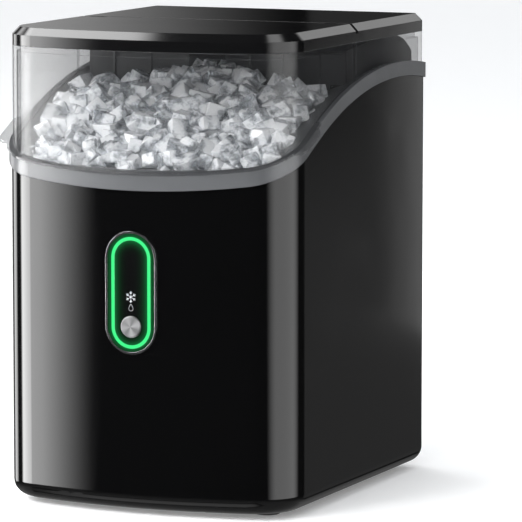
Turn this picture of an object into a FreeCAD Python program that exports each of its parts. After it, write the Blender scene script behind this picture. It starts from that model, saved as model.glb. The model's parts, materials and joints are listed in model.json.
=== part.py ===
import FreeCAD, Part
import math
import os
import re

# Counter-top nugget ice maker.  Millimetres, +X right, +Y to the back, +Z up.
# The origin is on the bench under the middle of the case; the front faces -Y.

# ---------------------------------------------------------------- driving sizes
SIZES = {
    # case outline: straight sides, a bowed front and round front corners
    "half_width": 114.5, "front_y": -142, "back_y": 141, "front_radius": 350,
    "corner_radius": 38, "rear_corner": 8, "top_z": 348, "floor_z": 4,
    "shell_wall": 2.5, "edge_round": 12,
    # S-shaped top line of the case: an arc, then a tangent straight to the front
    "rim_radius": 360, "rim_centre_y": 81, "rim_centre_z": -45, "rim_slope": 25.64,
    "rim_height": 11, "rim_proud": 1.75, "rim_inner": 3.5, "skirt_depth": 9,
    # lid and rear top
    "lid_inset": 1, "lid_under_z": 334.5, "bevel_run": 5.3, "bevel_drop": 5.5,
    "lid_skin": 3, "window_wall": 3, "neck_wall": 2.5, "neck_low_z": 330,
    "neck_high_z": 340, "lid_gap": 0.5, "lip_out": 3.5, "lip_thick": 2,
    "lip_end_y": -73, "ear_reach": 8, "ear_front_y": -112, "ear_length": 32,
    "hinge_y": 3, "hinge_z": 344.5, "hinge_round": 3.5, "barrel_half": 106,
    "knuckle_x": 94, "knuckle_half": 6, "knuckle_gap": 0.4, "pin_radius": 1.5,
    "pin_play": 0.05, "pin_half": 11, "rear_top_gap": 3.9,
    # bin liner, back wall and basket
    "bin_half": 92, "bin_front_y": -121, "bin_back_y": 4, "bin_floor_z": 150,
    "bin_corner": 14, "liner_wall": 2.5, "collar_fall": 0.3333, "liner_back_z": 262,
    "basket_half": 86, "basket_front_y": -116, "basket_back_y": -4, "basket_low_z": 151,
    "basket_top_z": 252, "basket_draft": 7, "basket_wall": 2.2, "basket_rim": 3,
    "basket_rim_tall": 5, "handle_wide": 58, "handle_tall": 22, "handle_thick": 4,
    "mouth_x": 2, "mouth_half": 23, "mouth_low_z": 300, "mouth_high_z": 322,
    "back_wall_y": 6.5, "back_wall_thick": 2.5, "housing_half": 104,
    "housing_back_y": 136.5, "housing_wall": 2.5, "deck_drop": 3.5,
    # control panel
    "panel_z": 162, "panel_wide": 40, "panel_tall": 88.5, "bezel_wall": 1.4,
    "bezel_front_y": -143.2, "bezel_back_y": -132, "ring_wide": 28.3, "ring_tall": 78,
    "ring_line": 2.4, "ring_depth": 3, "plate_front_y": -142.8, "plate_back_y": -138,
    "button_z": 137.5, "button_radius": 7.8, "button_front_y": -144.2,
    "button_back_y": -137.4, "button_play": 0.3, "board_front_y": -134,
    # back of the case
    "panel_half": 104, "panel_low_z": 16, "panel_high_z": 296, "panel_thick": 2,
    "opening_half": 98, "slot_wide": 34, "slot_tall": 2.6, "slot_pitch": 5.6,
    "screw_x": 101, "screw_head": 2.8, "drain_x": 2, "drain_z": 26,
    # machinery
    "base_inset": 14, "base_thick": 1.5, "foot_x": 84, "foot_front_y": -92,
    "foot_back_y": 112, "foot_radius": 10,
    "comp_x": 64, "comp_y": 88, "comp_radius": 40, "comp_low_z": 20, "comp_high_z": 118,
    "comp_plate": 76, "cond_x": -102, "cond_y": 116, "cond_z": 20, "cond_wide": 86,
    "cond_deep": 18, "cond_tall": 92, "fin_pitch": 4.3, "fin_thick": 0.6,
    "cond_tube": 3.5, "fan_x": -59, "fan_z": 66, "fan_bore": 40, "fan_radius": 37,
    "auger_x": 2, "auger_y": 43, "barrel_radius": 24, "barrel_bore": 21,
    "barrel_low_z": 132, "barrel_high_z": 292, "screw_shaft": 7, "flight_radius": 20.6,
    "flight_pitch": 24, "coil_radius": 26.7, "coil_tube": 2.6, "coil_low_z": 142,
    "coil_high_z": 278, "coil_pitch": 17, "foam_radius": 33, "foam_bore": 30,
    "tank_half": 92, "tank_front_y": -118, "tank_back_y": -16, "tank_low_z": 12,
    "tank_high_z": 110, "tank_wall": 2.2,
}

doc = FreeCAD.newDocument("IceMaker")
sheet = doc.addObject("Spreadsheet::Sheet", "Sizes")
for row, (alias, value) in enumerate(SIZES.items(), start=1):
    sheet.set(f"A{row}", alias.replace("_", " "))
    sheet.set(f"B{row}", str(value))
    sheet.setAlias(f"B{row}", alias)
doc.recompute()

nodes = []


def size(alias):
    """Return one driving size from the sheet as a number."""
    return float(sheet.get(alias))


def formula(text):
    """Write a size formula in the sheet's own terms."""
    return re.sub(r"[a-z][a-z_]*", lambda word: "Sizes." + word.group()
                  if word.group() in SIZES else word.group(), str(text))


def bind(obj, **sizes):
    """Bind properties of an object to the sheet."""
    for name, text in sizes.items():
        obj.setExpression(name, formula(text))
    return obj


def place(obj, x=0, y=0, z=0):
    """Bind an object's position to the sheet."""
    for name, text in (("x", x), ("y", y), ("z", z)):
        obj.setExpression("Placement.Base." + name, formula(text))
    return obj


def node(obj, label):
    """Name a finished sub-part and keep it for export."""
    obj.Label = label
    nodes.append(obj)
    return obj


# ---------------------------------------------------------------- primitives
AXES = {
    "x": FreeCAD.Rotation(FreeCAD.Vector(0, 1, 0), 90),
    "y": FreeCAD.Rotation(FreeCAD.Vector(1, 0, 0), -90),
    "z": FreeCAD.Rotation(),
}
PLANES = {
    "xy": FreeCAD.Rotation(),
    "xz": FreeCAD.Rotation(FreeCAD.Vector(1, 0, 0), 90),
    "yz": FreeCAD.Rotation(FreeCAD.Vector(1, 1, 1), 120),
}
NORMALS = {"xy": (0, 0, 1), "xz": (0, 1, 0), "yz": (1, 0, 0)}


def box(name, x, y, z, wide, deep, tall):
    """Make a block with its low corner at x, y, z."""
    solid = doc.addObject("Part::Box", name)
    bind(solid, Length=wide, Width=deep, Height=tall)
    return place(solid, x, y, z)


def rod(name, radius, length, x, y, z, axis="z"):
    """Make a cylinder that starts at x, y, z and runs along an axis."""
    solid = doc.addObject("Part::Cylinder", name)
    bind(solid, Radius=radius, Height=length)
    solid.Placement = FreeCAD.Placement(FreeCAD.Vector(), AXES[axis])
    return place(solid, x, y, z)


def cut(name, base, *tools):
    """Take tools away from a base."""
    result = doc.addObject("Part::Cut", name)
    result.Base = base
    result.Tool = tools[0] if len(tools) == 1 else fuse(name + "_tools", *tools)
    return result


def fuse(name, *parts):
    """Join overlapping or touching solids into one."""
    result = doc.addObject("Part::MultiFuse", name)
    result.Shapes = list(parts)
    return result


def common(name, *parts):
    """Keep what solids share."""
    result = doc.addObject("Part::MultiCommon", name)
    result.Shapes = list(parts)
    return result


def group(name, *parts):
    """Keep separate solids together in one node."""
    result = doc.addObject("Part::Compound", name)
    result.Links = list(parts)
    return result


def rounded(name, base, radius, chosen):
    """Round the edges that a test chooses."""
    doc.recompute()
    result = doc.addObject("Part::Fillet", name)
    result.Base = base
    result.Edges = [(number, radius, radius)
                    for number, edge in enumerate(base.Shape.Edges, start=1) if chosen(edge)]
    return result


def vertical(edge):
    """Tell whether an edge is a straight one along Z."""
    low, high = edge.BoundBox, edge.BoundBox.ZLength
    return high > 1 and low.XLength < 0.01 and low.YLength < 0.01


def at_height(height):
    """Choose the edges that lie at one height."""
    return lambda edge: abs(edge.BoundBox.ZMin - height) < 0.01 > abs(edge.BoundBox.ZMax - height)


# ---------------------------------------------------------------- outlines
def point(across, along):
    """Return a sketch point."""
    return FreeCAD.Vector(across, along, 0)


def loop_of(corners, radius=0):
    """Return a closed outline of straight runs with round corners."""
    edges, ends = [], []
    count = len(corners)
    for index, corner in enumerate(corners):
        before = (corners[index - 1] - corner).normalize()
        after = (corners[(index + 1) % count] - corner).normalize()
        half = before.getAngle(after) / 2
        if radius <= 0 or half > math.radians(89.5):
            ends.append((corner, None, corner))
            continue
        reach = radius / math.tan(half)
        middle = (before + after).normalize()
        summit = corner + middle * (radius / math.sin(half) - radius)
        ends.append((corner + before * reach, summit, corner + after * reach))
    for index, (start, summit, finish) in enumerate(ends):
        if summit is not None:
            edges.append(Part.Arc(start, summit, finish))
        following = ends[(index + 1) % count][0]
        if finish.distanceToPoint(following) > 0.001:
            edges.append(Part.LineSegment(finish, following))
    return edges


def block_loop(left, right, low, high, radius=0):
    """Return a rectangle's outline with round corners."""
    return loop_of([point(left, low), point(right, low), point(right, high), point(left, high)],
                   radius)


def stadium(wide, tall, across=0.0, along=0.0):
    """Return an upright stadium outline."""
    half, straight = wide / 2, (tall - wide) / 2
    left, right = across - half, across + half
    low, high = along - straight, along + straight
    return [Part.LineSegment(point(right, low), point(right, high)),
            Part.Arc(point(right, high), point(across, high + half), point(left, high)),
            Part.LineSegment(point(left, high), point(left, low)),
            Part.Arc(point(left, low), point(across, low - half), point(right, low))]


def case_loop(inset):
    """Return the case's plan outline, moved inwards by an inset."""
    half = size("half_width") - inset
    back = size("back_y") - inset
    bow = size("front_radius") - inset
    turn = size("corner_radius") - inset
    rear = max(size("rear_corner") - inset, 1.5)
    bow_y = size("front_y") + size("front_radius")
    turn_x = size("half_width") - size("corner_radius")
    span = size("front_radius") - size("corner_radius")
    turn_y = bow_y - math.sqrt(span ** 2 - turn_x ** 2)
    meet = point(turn_x / span * bow, bow_y + (turn_y - bow_y) / span * bow)
    slant = math.atan2(turn_y - bow_y, turn_x)
    elbow = slant / 2
    edges = [Part.Arc(point(-meet.x, meet.y), point(0, bow_y - bow), meet),
             Part.Arc(meet, point(turn_x + turn * math.cos(elbow), turn_y + turn * math.sin(elbow)),
                      point(half, turn_y)),
             Part.LineSegment(point(half, turn_y), point(half, back - rear)),
             Part.Arc(point(half, back - rear),
                      point(half - rear + rear * math.sqrt(0.5), back - rear + rear * math.sqrt(0.5)),
                      point(half - rear, back)),
             Part.LineSegment(point(half - rear, back), point(rear - half, back)),
             Part.Arc(point(rear - half, back),
                      point(rear - half - rear * math.sqrt(0.5), back - rear + rear * math.sqrt(0.5)),
                      point(-half, back - rear)),
             Part.LineSegment(point(-half, back - rear), point(-half, turn_y)),
             Part.Arc(point(-half, turn_y),
                      point(-turn_x - turn * math.cos(elbow), turn_y + turn * math.sin(elbow)),
                      point(-meet.x, meet.y))]
    return edges


FAR = 170.0          # beyond the case in every direction from the middle


def rim_line(lift):
    """Return the S-shaped line, lifted, from the front to the back, and its end points."""
    slope = math.radians(size("rim_slope"))
    centre_y, centre_z, bend = size("rim_centre_y"), size("rim_centre_z") + lift, size("rim_radius")
    join = point(centre_y - bend * math.sin(slope), centre_z + bend * math.cos(slope))
    front = point(-FAR, join.y - (join.x + FAR) * math.tan(slope))
    back = point(FAR, centre_z + math.sqrt(bend ** 2 - (FAR - centre_y) ** 2))
    crest = point(centre_y, centre_z + bend)
    return [Part.LineSegment(front, join), Part.Arc(join, crest, back)], front, back


def rim_slab_loop(low, high):
    """Return the band between two lifts of the S-shaped line."""
    upper, upper_front, upper_back = rim_line(high)
    lower, lower_front, lower_back = rim_line(low)
    return upper + lower + [Part.LineSegment(upper_front, lower_front),
                            Part.LineSegment(upper_back, lower_back)]


def rim_side_loop(lift, edge_z):
    """Return everything between the S-shaped line and a level."""
    line, front, back = rim_line(lift)
    return line + [Part.LineSegment(back, point(FAR, edge_z)),
                   Part.LineSegment(point(FAR, edge_z), point(-FAR, edge_z)),
                   Part.LineSegment(point(-FAR, edge_z), front)]


def sketch(name, plane, edges, offset=0):
    """Draw an outline on a plane that is moved along its normal."""
    drawing = doc.addObject("Sketcher::SketchObject", name + "_outline")
    drawing.addGeometry(edges, False)
    drawing.Placement = FreeCAD.Placement(FreeCAD.Vector(), PLANES[plane])
    shift = dict(zip("xyz", [str(offset) if part else "0" for part in NORMALS[plane]]))
    return place(drawing, **shift)


def prism(name, plane, edges, offset, length, direction=None):
    """Pull an outline along its plane's normal or a direction of its own."""
    result = doc.addObject("Part::Extrusion", name)
    result.Base = sketch(name, plane, edges, offset)
    result.DirMode = "Custom"
    result.Dir = FreeCAD.Vector(*(direction or NORMALS[plane]))
    result.Solid = True
    return bind(result, LengthFwd=length)


def case_prism(name, inset, low, high):
    """Make the case's outline, inset, between two heights."""
    return prism(name, "xy", case_loop(inset), low, f"({high}) - ({low})")


def rim_prism(name, edges):
    """Pull a side-view outline across the whole case."""
    return prism(name, "yz", edges, -FAR, 2 * FAR)


def turned(name, profile, x=0, y=0, z=0, axis="z"):
    """Spin a half outline, given as radius and height points, about an axis."""
    drawing = doc.addObject("Sketcher::SketchObject", name + "_outline")
    drawing.addGeometry(loop_of([point(*pair) for pair in profile]), False)
    drawing.Placement = FreeCAD.Placement(FreeCAD.Vector(), PLANES["xz"])
    result = doc.addObject("Part::Revolution", name)
    result.Source = drawing
    result.Axis = FreeCAD.Vector(0, 0, 1)
    result.Angle = 360
    result.Solid = True
    result.Placement = FreeCAD.Placement(FreeCAD.Vector(), AXES[axis])
    return place(result, x, y, z)


def pipe(name, corners, radius, bend, bore=0.0):
    """Sweep a round section along straight runs joined by arcs."""
    stops = [FreeCAD.Vector(*corner) for corner in corners]
    edges, start = [], stops[0]
    for before, corner, after in zip(stops, stops[1:], stops[2:]):
        back, onward = (before - corner).normalize(), (after - corner).normalize()
        half = back.getAngle(onward) / 2
        reach = bend / math.tan(half)
        inward = (back + onward).normalize()
        summit = corner + inward * (bend / math.sin(half) - bend)
        edges.append(Part.LineSegment(start, corner + back * reach).toShape())
        edges.append(Part.Arc(corner + back * reach, summit, corner + onward * reach).toShape())
        start = corner + onward * reach
    edges.append(Part.LineSegment(start, stops[-1]).toShape())
    spine = doc.addObject("Part::Feature", name + "_path")
    spine.Shape = Part.Wire(edges)
    skins = []
    for tag, width in (("outer", radius), ("inner", bore)):
        if width <= 0:
            continue
        ring = doc.addObject("Part::Circle", name + "_" + tag + "_section")
        ring.Radius = width
        ring.Placement = FreeCAD.Placement(
            stops[0], FreeCAD.Rotation(FreeCAD.Vector(0, 0, 1), stops[1] - stops[0]))
        skin = doc.addObject("Part::Sweep", name + "_" + tag)
        skin.Sections = [ring]
        skin.Spine = (spine, [f"Edge{number + 1}" for number in range(len(edges))])
        skin.Solid = True
        skins.append(skin)
    return skins[0] if len(skins) == 1 else cut(name, *skins)


# ---------------------------------------------------------------- case
def outer_shell():
    """One moulded wrap: floor, front, sides and the frame of the back."""
    outer = rounded("shell_block", case_prism("shell_outer", 0, "floor_z", "top_z"),
                    size("edge_round"), at_height(size("floor_z")))
    wall = size("shell_wall")
    inner_floor = size("floor_z") + wall
    inner = rounded("shell_room", case_prism("shell_inner", wall, "floor_z + shell_wall", "top_z"),
                    size("edge_round") - wall, at_height(inner_floor))
    above = rim_prism("above_rim", rim_side_loop(-size("rim_height"), 400))
    back = box("back_opening", "-opening_half", "back_y - 12", "panel_low_z + 6",
               "2 * opening_half", 20, "panel_high_z - panel_low_z - 12")
    face = prism("panel_hole", "xz",
                 stadium(size("panel_wide") + 0.3, size("panel_tall") + 0.3, 0, size("panel_z")),
                 "front_y - 10", 25)
    studs = [rod(f"foot_hole_{index}", 3, 10, x, y, "floor_z - 2")
             for index, (x, y) in enumerate(FOOT_SPOTS)]
    pilots = [rod(f"pilot_{index}", 1.5, 20, x, "back_y - 12", z, "y")
              for index, (x, z) in enumerate(SCREW_SPOTS)]
    drain = rod("shell_drain_hole", 7, 20, "drain_x", "back_y - 12", "drain_z", "y")
    node(cut("shell", outer, inner, above, back, face, drain, *studs, *pilots), "outer_shell")


def feet():
    """Four rubber feet with studs pushed into the floor."""
    made = []
    for index, (x, y) in enumerate(FOOT_SPOTS):
        profile = [(0, 0), (size("foot_radius") - 1, 0), (size("foot_radius"), 1),
                   (size("foot_radius"), 4), (3, 4), (3, 6.5), (0, 6.5)]
        made.append(turned(f"foot_{index}", profile, x, y, 0))
    node(group("feet_group", *made), "feet")


def base_plate():
    """Steel plate on the floor that carries the machinery."""
    node(case_prism("base", size("base_inset"), "floor_z + shell_wall",
                    "floor_z + shell_wall + base_thick"), "base_plate")


def rear_panel():
    """Vented back cover, drawn and padded as a body with patterned slots."""
    body = doc.addObject("PartDesign::Body", "rear_panel_body")
    upright = [feature for feature in body.Origin.OriginFeatures if feature.Role == "XZ_Plane"][0]

    def draw(name, edges):
        drawing = body.newObject("Sketcher::SketchObject", name)
        drawing.AttachmentSupport = [(upright, "")]
        drawing.MapMode = "FlatFace"
        drawing.setExpression("AttachmentOffset.Base.z",
                              formula("-(back_y + panel_thick)"))
        drawing.addGeometry(edges, False)
        return drawing

    low, high, half = size("panel_low_z"), size("panel_high_z"), size("panel_half")
    pad = body.newObject("PartDesign::Pad", "cover_pad")
    pad.Profile = draw("cover_outline", block_loop(-half, half, low, high, 6))
    bind(pad, Length="panel_thick")
    doc.recompute()
    full = pad.Shape.Volume
    drain = rim_circle(size("drain_x"), size("drain_z"), 7.2)
    holes = body.newObject("PartDesign::Pocket", "service_holes")
    holes.Profile = draw("service_outline", [drain] + block_loop(56, 84, 129, 151)
                         + [rim_circle(spot[0], spot[1], 1.6) for spot in SCREW_VALUES])
    holes.Type = "ThroughAll"
    holes.Midplane = True
    doc.recompute()
    base = holes
    for tag, first_x, first_z, columns, rows in (("low", -97, 30, 2, 13), ("high", -75, 190, 4, 13)):
        slot = body.newObject("PartDesign::Pocket", tag + "_slot")
        width, tall = size("slot_wide"), size("slot_tall")
        slot.Profile = draw(tag + "_slot_outline",
                            block_loop(first_x, first_x + width, first_z, first_z + tall,
                                       tall / 2 - 0.05))
        slot.Type = "ThroughAll"
        slot.Midplane = True
        doc.recompute()
        across = [feature for feature in body.Origin.OriginFeatures if feature.Role == "X_Axis"][0]
        upward = [feature for feature in body.Origin.OriginFeatures if feature.Role == "Z_Axis"][0]
        steps = body.newObject("PartDesign::MultiTransform", tag + "_slots")
        steps.Originals = [slot]
        moves = []
        for direction, count, pitch in ((across, columns, width + 5),
                                        (upward, rows, size("slot_pitch"))):
            line = body.newObject("PartDesign::LinearPattern", tag + "_" + direction.Role)
            line.Direction = (direction, [""])
            line.Length = pitch * (count - 1)
            line.Occurrences = count
            moves.append(line)
        steps.Transformations = moves
        body.Tip = steps
        doc.recompute()
        base = steps
    print("rear panel keeps", round(base.Shape.Volume / full, 3), "of its plate")
    node(body, "rear_panel")


def rim_circle(across, along, radius):
    """Return a circle for a sketch."""
    return Part.Circle(point(across, along), FreeCAD.Vector(0, 0, 1), radius)


def rear_screws():
    """Six pan-head screws that hold the back cover."""
    made = []
    for index, (x, z) in enumerate(SCREW_SPOTS):
        head = rod(f"screw_head_{index}", "screw_head", 2, x, "back_y + panel_thick", z, "y")
        slot = box(f"screw_slot_{index}", f"{x} - 2", "back_y + panel_thick + 1.2", f"({z}) - 0.4",
                   4, 2, 0.8)
        shank = rod(f"screw_shank_{index}", 1.5, 7, x, "back_y + panel_thick - 7", z, "y")
        made.append(cut(f"screw_{index}", fuse(f"screw_blank_{index}", head, shank), slot))
    node(group("rear_screw_group", *made), "rear_screws")


def rim_frame():
    """Grey band that caps the case, with a skirt inside it and a deck at the back."""
    proud, inner = size("rim_proud"), size("rim_inner")
    drop = size("deck_drop")
    band = common("band", cut("band_ring", case_prism("band_outer", -proud, 200, "top_z"),
                              case_prism("band_inner", inner, 190, "top_z + 5")),
                  rim_prism("band_slab", rim_slab_loop(-size("rim_height"), 0)))
    skirt = common("skirt", cut("skirt_ring",
                                case_prism("skirt_outer", size("shell_wall"), 200, "top_z"),
                                case_prism("skirt_inner", size("shell_wall") + 2, 190, "top_z + 5")),
                   rim_prism("skirt_slab", rim_slab_loop(-size("rim_height") - size("skirt_depth"),
                                                         -size("rim_height") + 1)))
    deck_room = box("deck_room", "-(housing_half - 6)", "back_wall_y", 250,
                    "2 * (housing_half - 6)", "housing_back_y - back_wall_y - 6", 100)
    deck = cut("deck", common("deck_sheet", case_prism("deck_outer", inner - 0.5, 200, "top_z"),
                              rim_prism("deck_slab", rim_slab_loop(-drop - 2.5, -drop)),
                              box("deck_half", -150, "back_wall_y + back_wall_thick", 200, 300, 200,
                                  200)), deck_room)
    node(fuse("rim", band, skirt, deck), "rim_frame")


# ---------------------------------------------------------------- ice bin
def bin_liner():
    """Tub of the bin with a collar that slopes up to the rim."""
    fall = size("collar_fall")
    wall = size("liner_wall")
    half, front, back = size("bin_half"), size("bin_front_y"), size("bin_back_y")
    tub = prism("tub_outer", "xy", block_loop(-half - wall, half + wall, front - wall, back + wall,
                                              size("bin_corner") + wall),
                "bin_floor_z - liner_wall", 220)
    room = prism("tub_room", "xy", block_loop(-half, half, front, back, size("bin_corner")),
                 "bin_floor_z", 260)
    reach = size("half_width") + 7
    edge_z = size("rim_centre_z") + size("rim_radius")
    sides = {}
    for level, lift in (("upper", 0), ("lower", -wall)):
        profile = rim_side_loop(lift - fall * size("half_width"), 60)
        slopes = [prism(f"collar_{level}_{tag}", "yz", profile, 0, reach * math.hypot(1, fall),
                        (sign, 0, fall)) for tag, sign in (("right", 1), ("left", -1))]
        toe = size("front_y")
        shelf = prism(f"collar_{level}_front", "yz",
                      loop_of([point(toe - 10, 60), point(toe - 10, edge_z - 67.5 + lift),
                               point(toe + 42, edge_z - 63 + lift), point(toe + 42, 60)]),
                      -reach, 2 * reach)
        sides[level] = fuse(f"collar_{level}", *slopes, shelf)
    front_half = box("collar_front_half", -150, -200, 60, 300, f"200 + bin_back_y + {wall}", 300)
    collar = common("collar", cut("collar_sheet", sides["upper"], sides["lower"]),
                    cut("collar_ring", case_prism("collar_outer", size("rim_inner"), 100, "top_z"),
                        room), front_half)
    walls = common("tub_walls", cut("tub", tub, room), sides["upper"])
    doorway = box("liner_doorway", "-(bin_half - 3)", "bin_back_y - 0.1", "liner_back_z",
                  "2 * (bin_half - 3)", 10, 120)
    eyes = [rod(f"sensor_hole_{tag}", 4, 8, x, SENSOR_Y, SENSOR_Z, "x")
            for tag, x in (("left", "-bin_half - 6"), ("right", "bin_half - 2"))]
    node(cut("liner", fuse("liner_blank", walls, collar), doorway, *eyes), "bin_liner")


def bin_back_wall():
    """Dark wall behind the bin with the mouth that drops the ice."""
    plate = fuse("back_plate",
                 box("back_plate_low", "-(bin_half - 0.5)", "back_wall_y", 240,
                     "2 * bin_half - 1", "back_wall_thick", 65),
                 box("back_plate_high", "-(housing_half - housing_wall)", "back_wall_y", 302.5,
                     "2 * (housing_half - housing_wall)", "back_wall_thick", 22.5),
                 *[box(f"back_rib_{index}", x, "back_wall_y - 0.8", 262, 1.6, 1.2, 62)
                   for index, x in enumerate((-84, -54, 52, 82))],
                 box("mouth_frame", "mouth_x - mouth_half - 3", "back_wall_y - 2.5",
                     "mouth_low_z - 3", "2 * mouth_half + 6", 3, "mouth_high_z - mouth_low_z + 5"))
    mouth = box("mouth", "mouth_x - mouth_half", "back_wall_y - 5", "mouth_low_z",
                "2 * mouth_half", 12, "mouth_high_z - mouth_low_z")
    node(cut("back_wall", plate, mouth), "bin_back_wall")


def dome_loop(shrink, front):
    """Return the housing's side view with a low dome, made thinner all round."""
    back = size("housing_back_y") - shrink
    crown = size("lid_under_z") - 1.5 - shrink
    low = 240
    return [Part.LineSegment(point(front, low), point(front, crown - 5.4)),
            Part.Arc(point(front, crown - 5.4), point(46, crown - 1.6), point(90, crown)),
            Part.Arc(point(90, crown), point(122, crown - 4.8), point(back, crown - 14)),
            Part.LineSegment(point(back, crown - 14), point(back, low)),
            Part.LineSegment(point(back, low), point(front, low))]


def rear_housing():
    """Black cover over the ice-making column, with a low domed top."""
    wall = size("housing_wall")
    half = size("housing_half")
    outer = prism("housing_outer", "yz", dome_loop(0, size("back_wall_y")), -half, 2 * half)
    inner = prism("housing_inner", "yz", dome_loop(wall, size("back_wall_y") - 5),
                  wall - half, 2 * (half - wall))
    below = rim_prism("below_deck", rim_side_loop(-size("deck_drop"), 100))
    node(cut("housing", outer, inner, below), "rear_housing")


def basket_loop(shrink):
    """Return the basket's plan: a rectangle with a stepped front left corner."""
    half = size("basket_half") - shrink
    front, back = size("basket_front_y") + shrink, size("basket_back_y") - shrink
    step = 10
    return loop_of([point(-half, front + step), point(-half * 0.6, front + step),
                    point(-half * 0.45, front), point(half, front), point(half, back),
                    point(-half, back)], 9)


def basket_skin(name, shrink, low, high, draft):
    """Make a tapered block with the basket's plan."""
    skin = doc.addObject("Part::Loft", name)
    skin.Sections = [sketch(name + "_low", "xy", basket_loop(shrink + draft), low),
                     sketch(name + "_high", "xy", basket_loop(shrink), high)]
    skin.Solid = True
    skin.Ruled = True
    return skin


def ice_basket():
    """Lift-out tub with a rolled rim and a loop handle at each end."""
    draft, wall = size("basket_draft"), size("basket_wall")
    outer = basket_skin("basket_outer", 0, "basket_low_z", "basket_top_z", draft)
    inner = basket_skin("basket_inner", wall, "basket_low_z + basket_wall", "basket_top_z + 0.01",
                        draft)
    rim = cut("basket_rim_ring",
              prism("basket_rim_outer", "xy", basket_loop(-size("basket_rim")),
                    "basket_top_z - basket_rim_tall", "basket_rim_tall"),
              prism("basket_rim_inner", "xy", basket_loop(wall / 2),
                    "basket_top_z - basket_rim_tall - 1", "basket_rim_tall + 2"))
    wide, tall = size("handle_wide"), size("handle_tall")
    middle = (size("basket_front_y") + size("basket_back_y")) / 2
    grips = []
    for tag, start in (("left", "-(basket_half + basket_rim) + 0.5"),
                       ("right", "basket_half + basket_rim - handle_thick - 0.5")):
        plate = prism("grip_" + tag, "yz",
                      block_loop(middle - wide / 2, middle + wide / 2, size("basket_top_z") - 14,
                                 size("basket_top_z") + tall - 4, 10), start, "handle_thick")
        slot = prism("grip_slot_" + tag, "yz",
                     block_loop(middle - wide / 2 + 8, middle + wide / 2 - 8,
                                size("basket_top_z") + 1, size("basket_top_z") + tall - 11, 4.9),
                     -FAR, 2 * FAR)
        grips.append(cut("grip_loop_" + tag, plate, slot))
    drains = [rod(f"basket_drain_{column}_{line}", 2, 10, column * 30 - 60, line * 24 - 88,
                  "basket_low_z - 4") for column in range(5) for line in range(3)]
    tub = cut("basket_tub", fuse("basket_blank", outer, rim, *grips), inner, *drains)
    node(tub, "ice_basket")


def ice_sensors():
    """Two infrared eyes that watch the ice level across the bin."""
    node(group("sensor_group", *[rod(f"sensor_{tag}", 4, 7, x, SENSOR_Y, SENSOR_Z, "x")
                                 for tag, x in (("left", "-bin_half - 7"), ("right", "bin_half"))]),
         "ice_sensors")


# ---------------------------------------------------------------- lid and rear top
def top_blank(name):
    """Make the whole bevelled black top with a level upper face."""
    inset, run = size("lid_inset"), size("bevel_run")
    lower = case_prism(name + "_face", inset, "lid_under_z", "top_z - bevel_drop")
    bevel = doc.addObject("Part::Loft", name + "_bevel")
    bevel.Sections = [sketch(name + "_bevel_low", "xy", case_loop(inset), "top_z - bevel_drop"),
                      sketch(name + "_bevel_high", "xy", case_loop(inset + run), "top_z")]
    bevel.Solid = True
    bevel.Ruled = True
    return fuse(name, lower, bevel)


def knuckle_zone(name, side, play, radius, back):
    """Make the block round one hinge knuckle."""
    return box(name, f"{side} * knuckle_x - knuckle_half - {play}", f"hinge_y - {radius}",
               "hinge_z - 20", f"2 * (knuckle_half + {play})", f"{radius} + {back}", 30)


def lid_top():
    """Hinged black top of the lid, hollow below, with a round hinge edge."""
    front = box("lid_front_half", -200, -200, 300, 400, "200 + hinge_y", 60)
    room = common("lid_room", case_prism("lid_room_block", size("lid_inset") + size("lid_skin"),
                                         "lid_under_z - 1", "top_z - lid_skin"),
                  box("lid_room_half", -200, -200, 300, 400, "200 + hinge_y - 5.5", 60))
    barrel = rod("lid_barrel", "hinge_round", "2 * barrel_half", "-barrel_half", "hinge_y", "hinge_z",
                 "x")
    notches = [knuckle_zone(f"lid_notch_{side}", side, size("knuckle_gap"), 4.2, 6)
               for side in (-1, 1)]
    bore = rod("lid_bore", "pin_radius", "2 * (knuckle_x + pin_half)", "-(knuckle_x + pin_half)",
               "hinge_y", "hinge_z", "x")
    centre = box("lid_bore_plug", "-(knuckle_x - pin_half)", "hinge_y - 2", "hinge_z - 2",
                 "2 * (knuckle_x - pin_half)", 4, 4)
    bores = cut("lid_bores", bore, centre)
    node(cut("lid", fuse("lid_blank", common("lid_front", top_blank("lid_whole"), front), barrel),
             room, *notches, bores), "lid_top")


def rear_top():
    """Fixed black top behind the hinge line, with the two hinge knuckles."""
    low = box("rear_low_half", -200, "hinge_y + lid_gap", 300, 400, 200,
              "hinge_z - hinge_round - lid_gap - 300")
    high = box("rear_high_half", -200, "hinge_y + rear_top_gap", 300, 400, 200, 60)
    room = common("rear_room", case_prism("rear_room_block", size("lid_inset") + size("lid_skin"),
                                          "lid_under_z - 1", "top_z - lid_skin"),
                  box("rear_room_half", -200, "hinge_y + rear_top_gap + lid_skin", 300, 400, 200,
                      60))
    blank = common("rear_blank", top_blank("rear_whole"), fuse("rear_half", low, high))
    knuckles = []
    for side in (-1, 1):
        start = f"{side} * knuckle_x - knuckle_half"
        knuckles.append(rod(f"knuckle_{side}", "hinge_round - 0.1", "2 * knuckle_half", start,
                            "hinge_y", "hinge_z", "x"))
        knuckles.append(box(f"knuckle_web_{side}", start, "hinge_y", "hinge_z - hinge_round + 0.1",
                            "2 * knuckle_half", "rear_top_gap + 0.5", "hinge_round + 0.9"))
    bore = rod("rear_bore", "pin_radius + pin_play", 400, -200, "hinge_y", "hinge_z", "x")
    node(cut("rear_cover", fuse("rear_join", cut("rear_shell", blank, room), *knuckles), bore),
         "rear_top")


def hinge_pins():
    """Two steel pins, fixed in the lid and turning in the knuckles."""
    node(group("pin_group", *[rod(f"hinge_pin_{side}", "pin_radius", "2 * pin_half",
                                  f"{side} * knuckle_x - pin_half", "hinge_y", "hinge_z", "x")
                              for side in (-1, 1)]), "hinge_pins")


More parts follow.
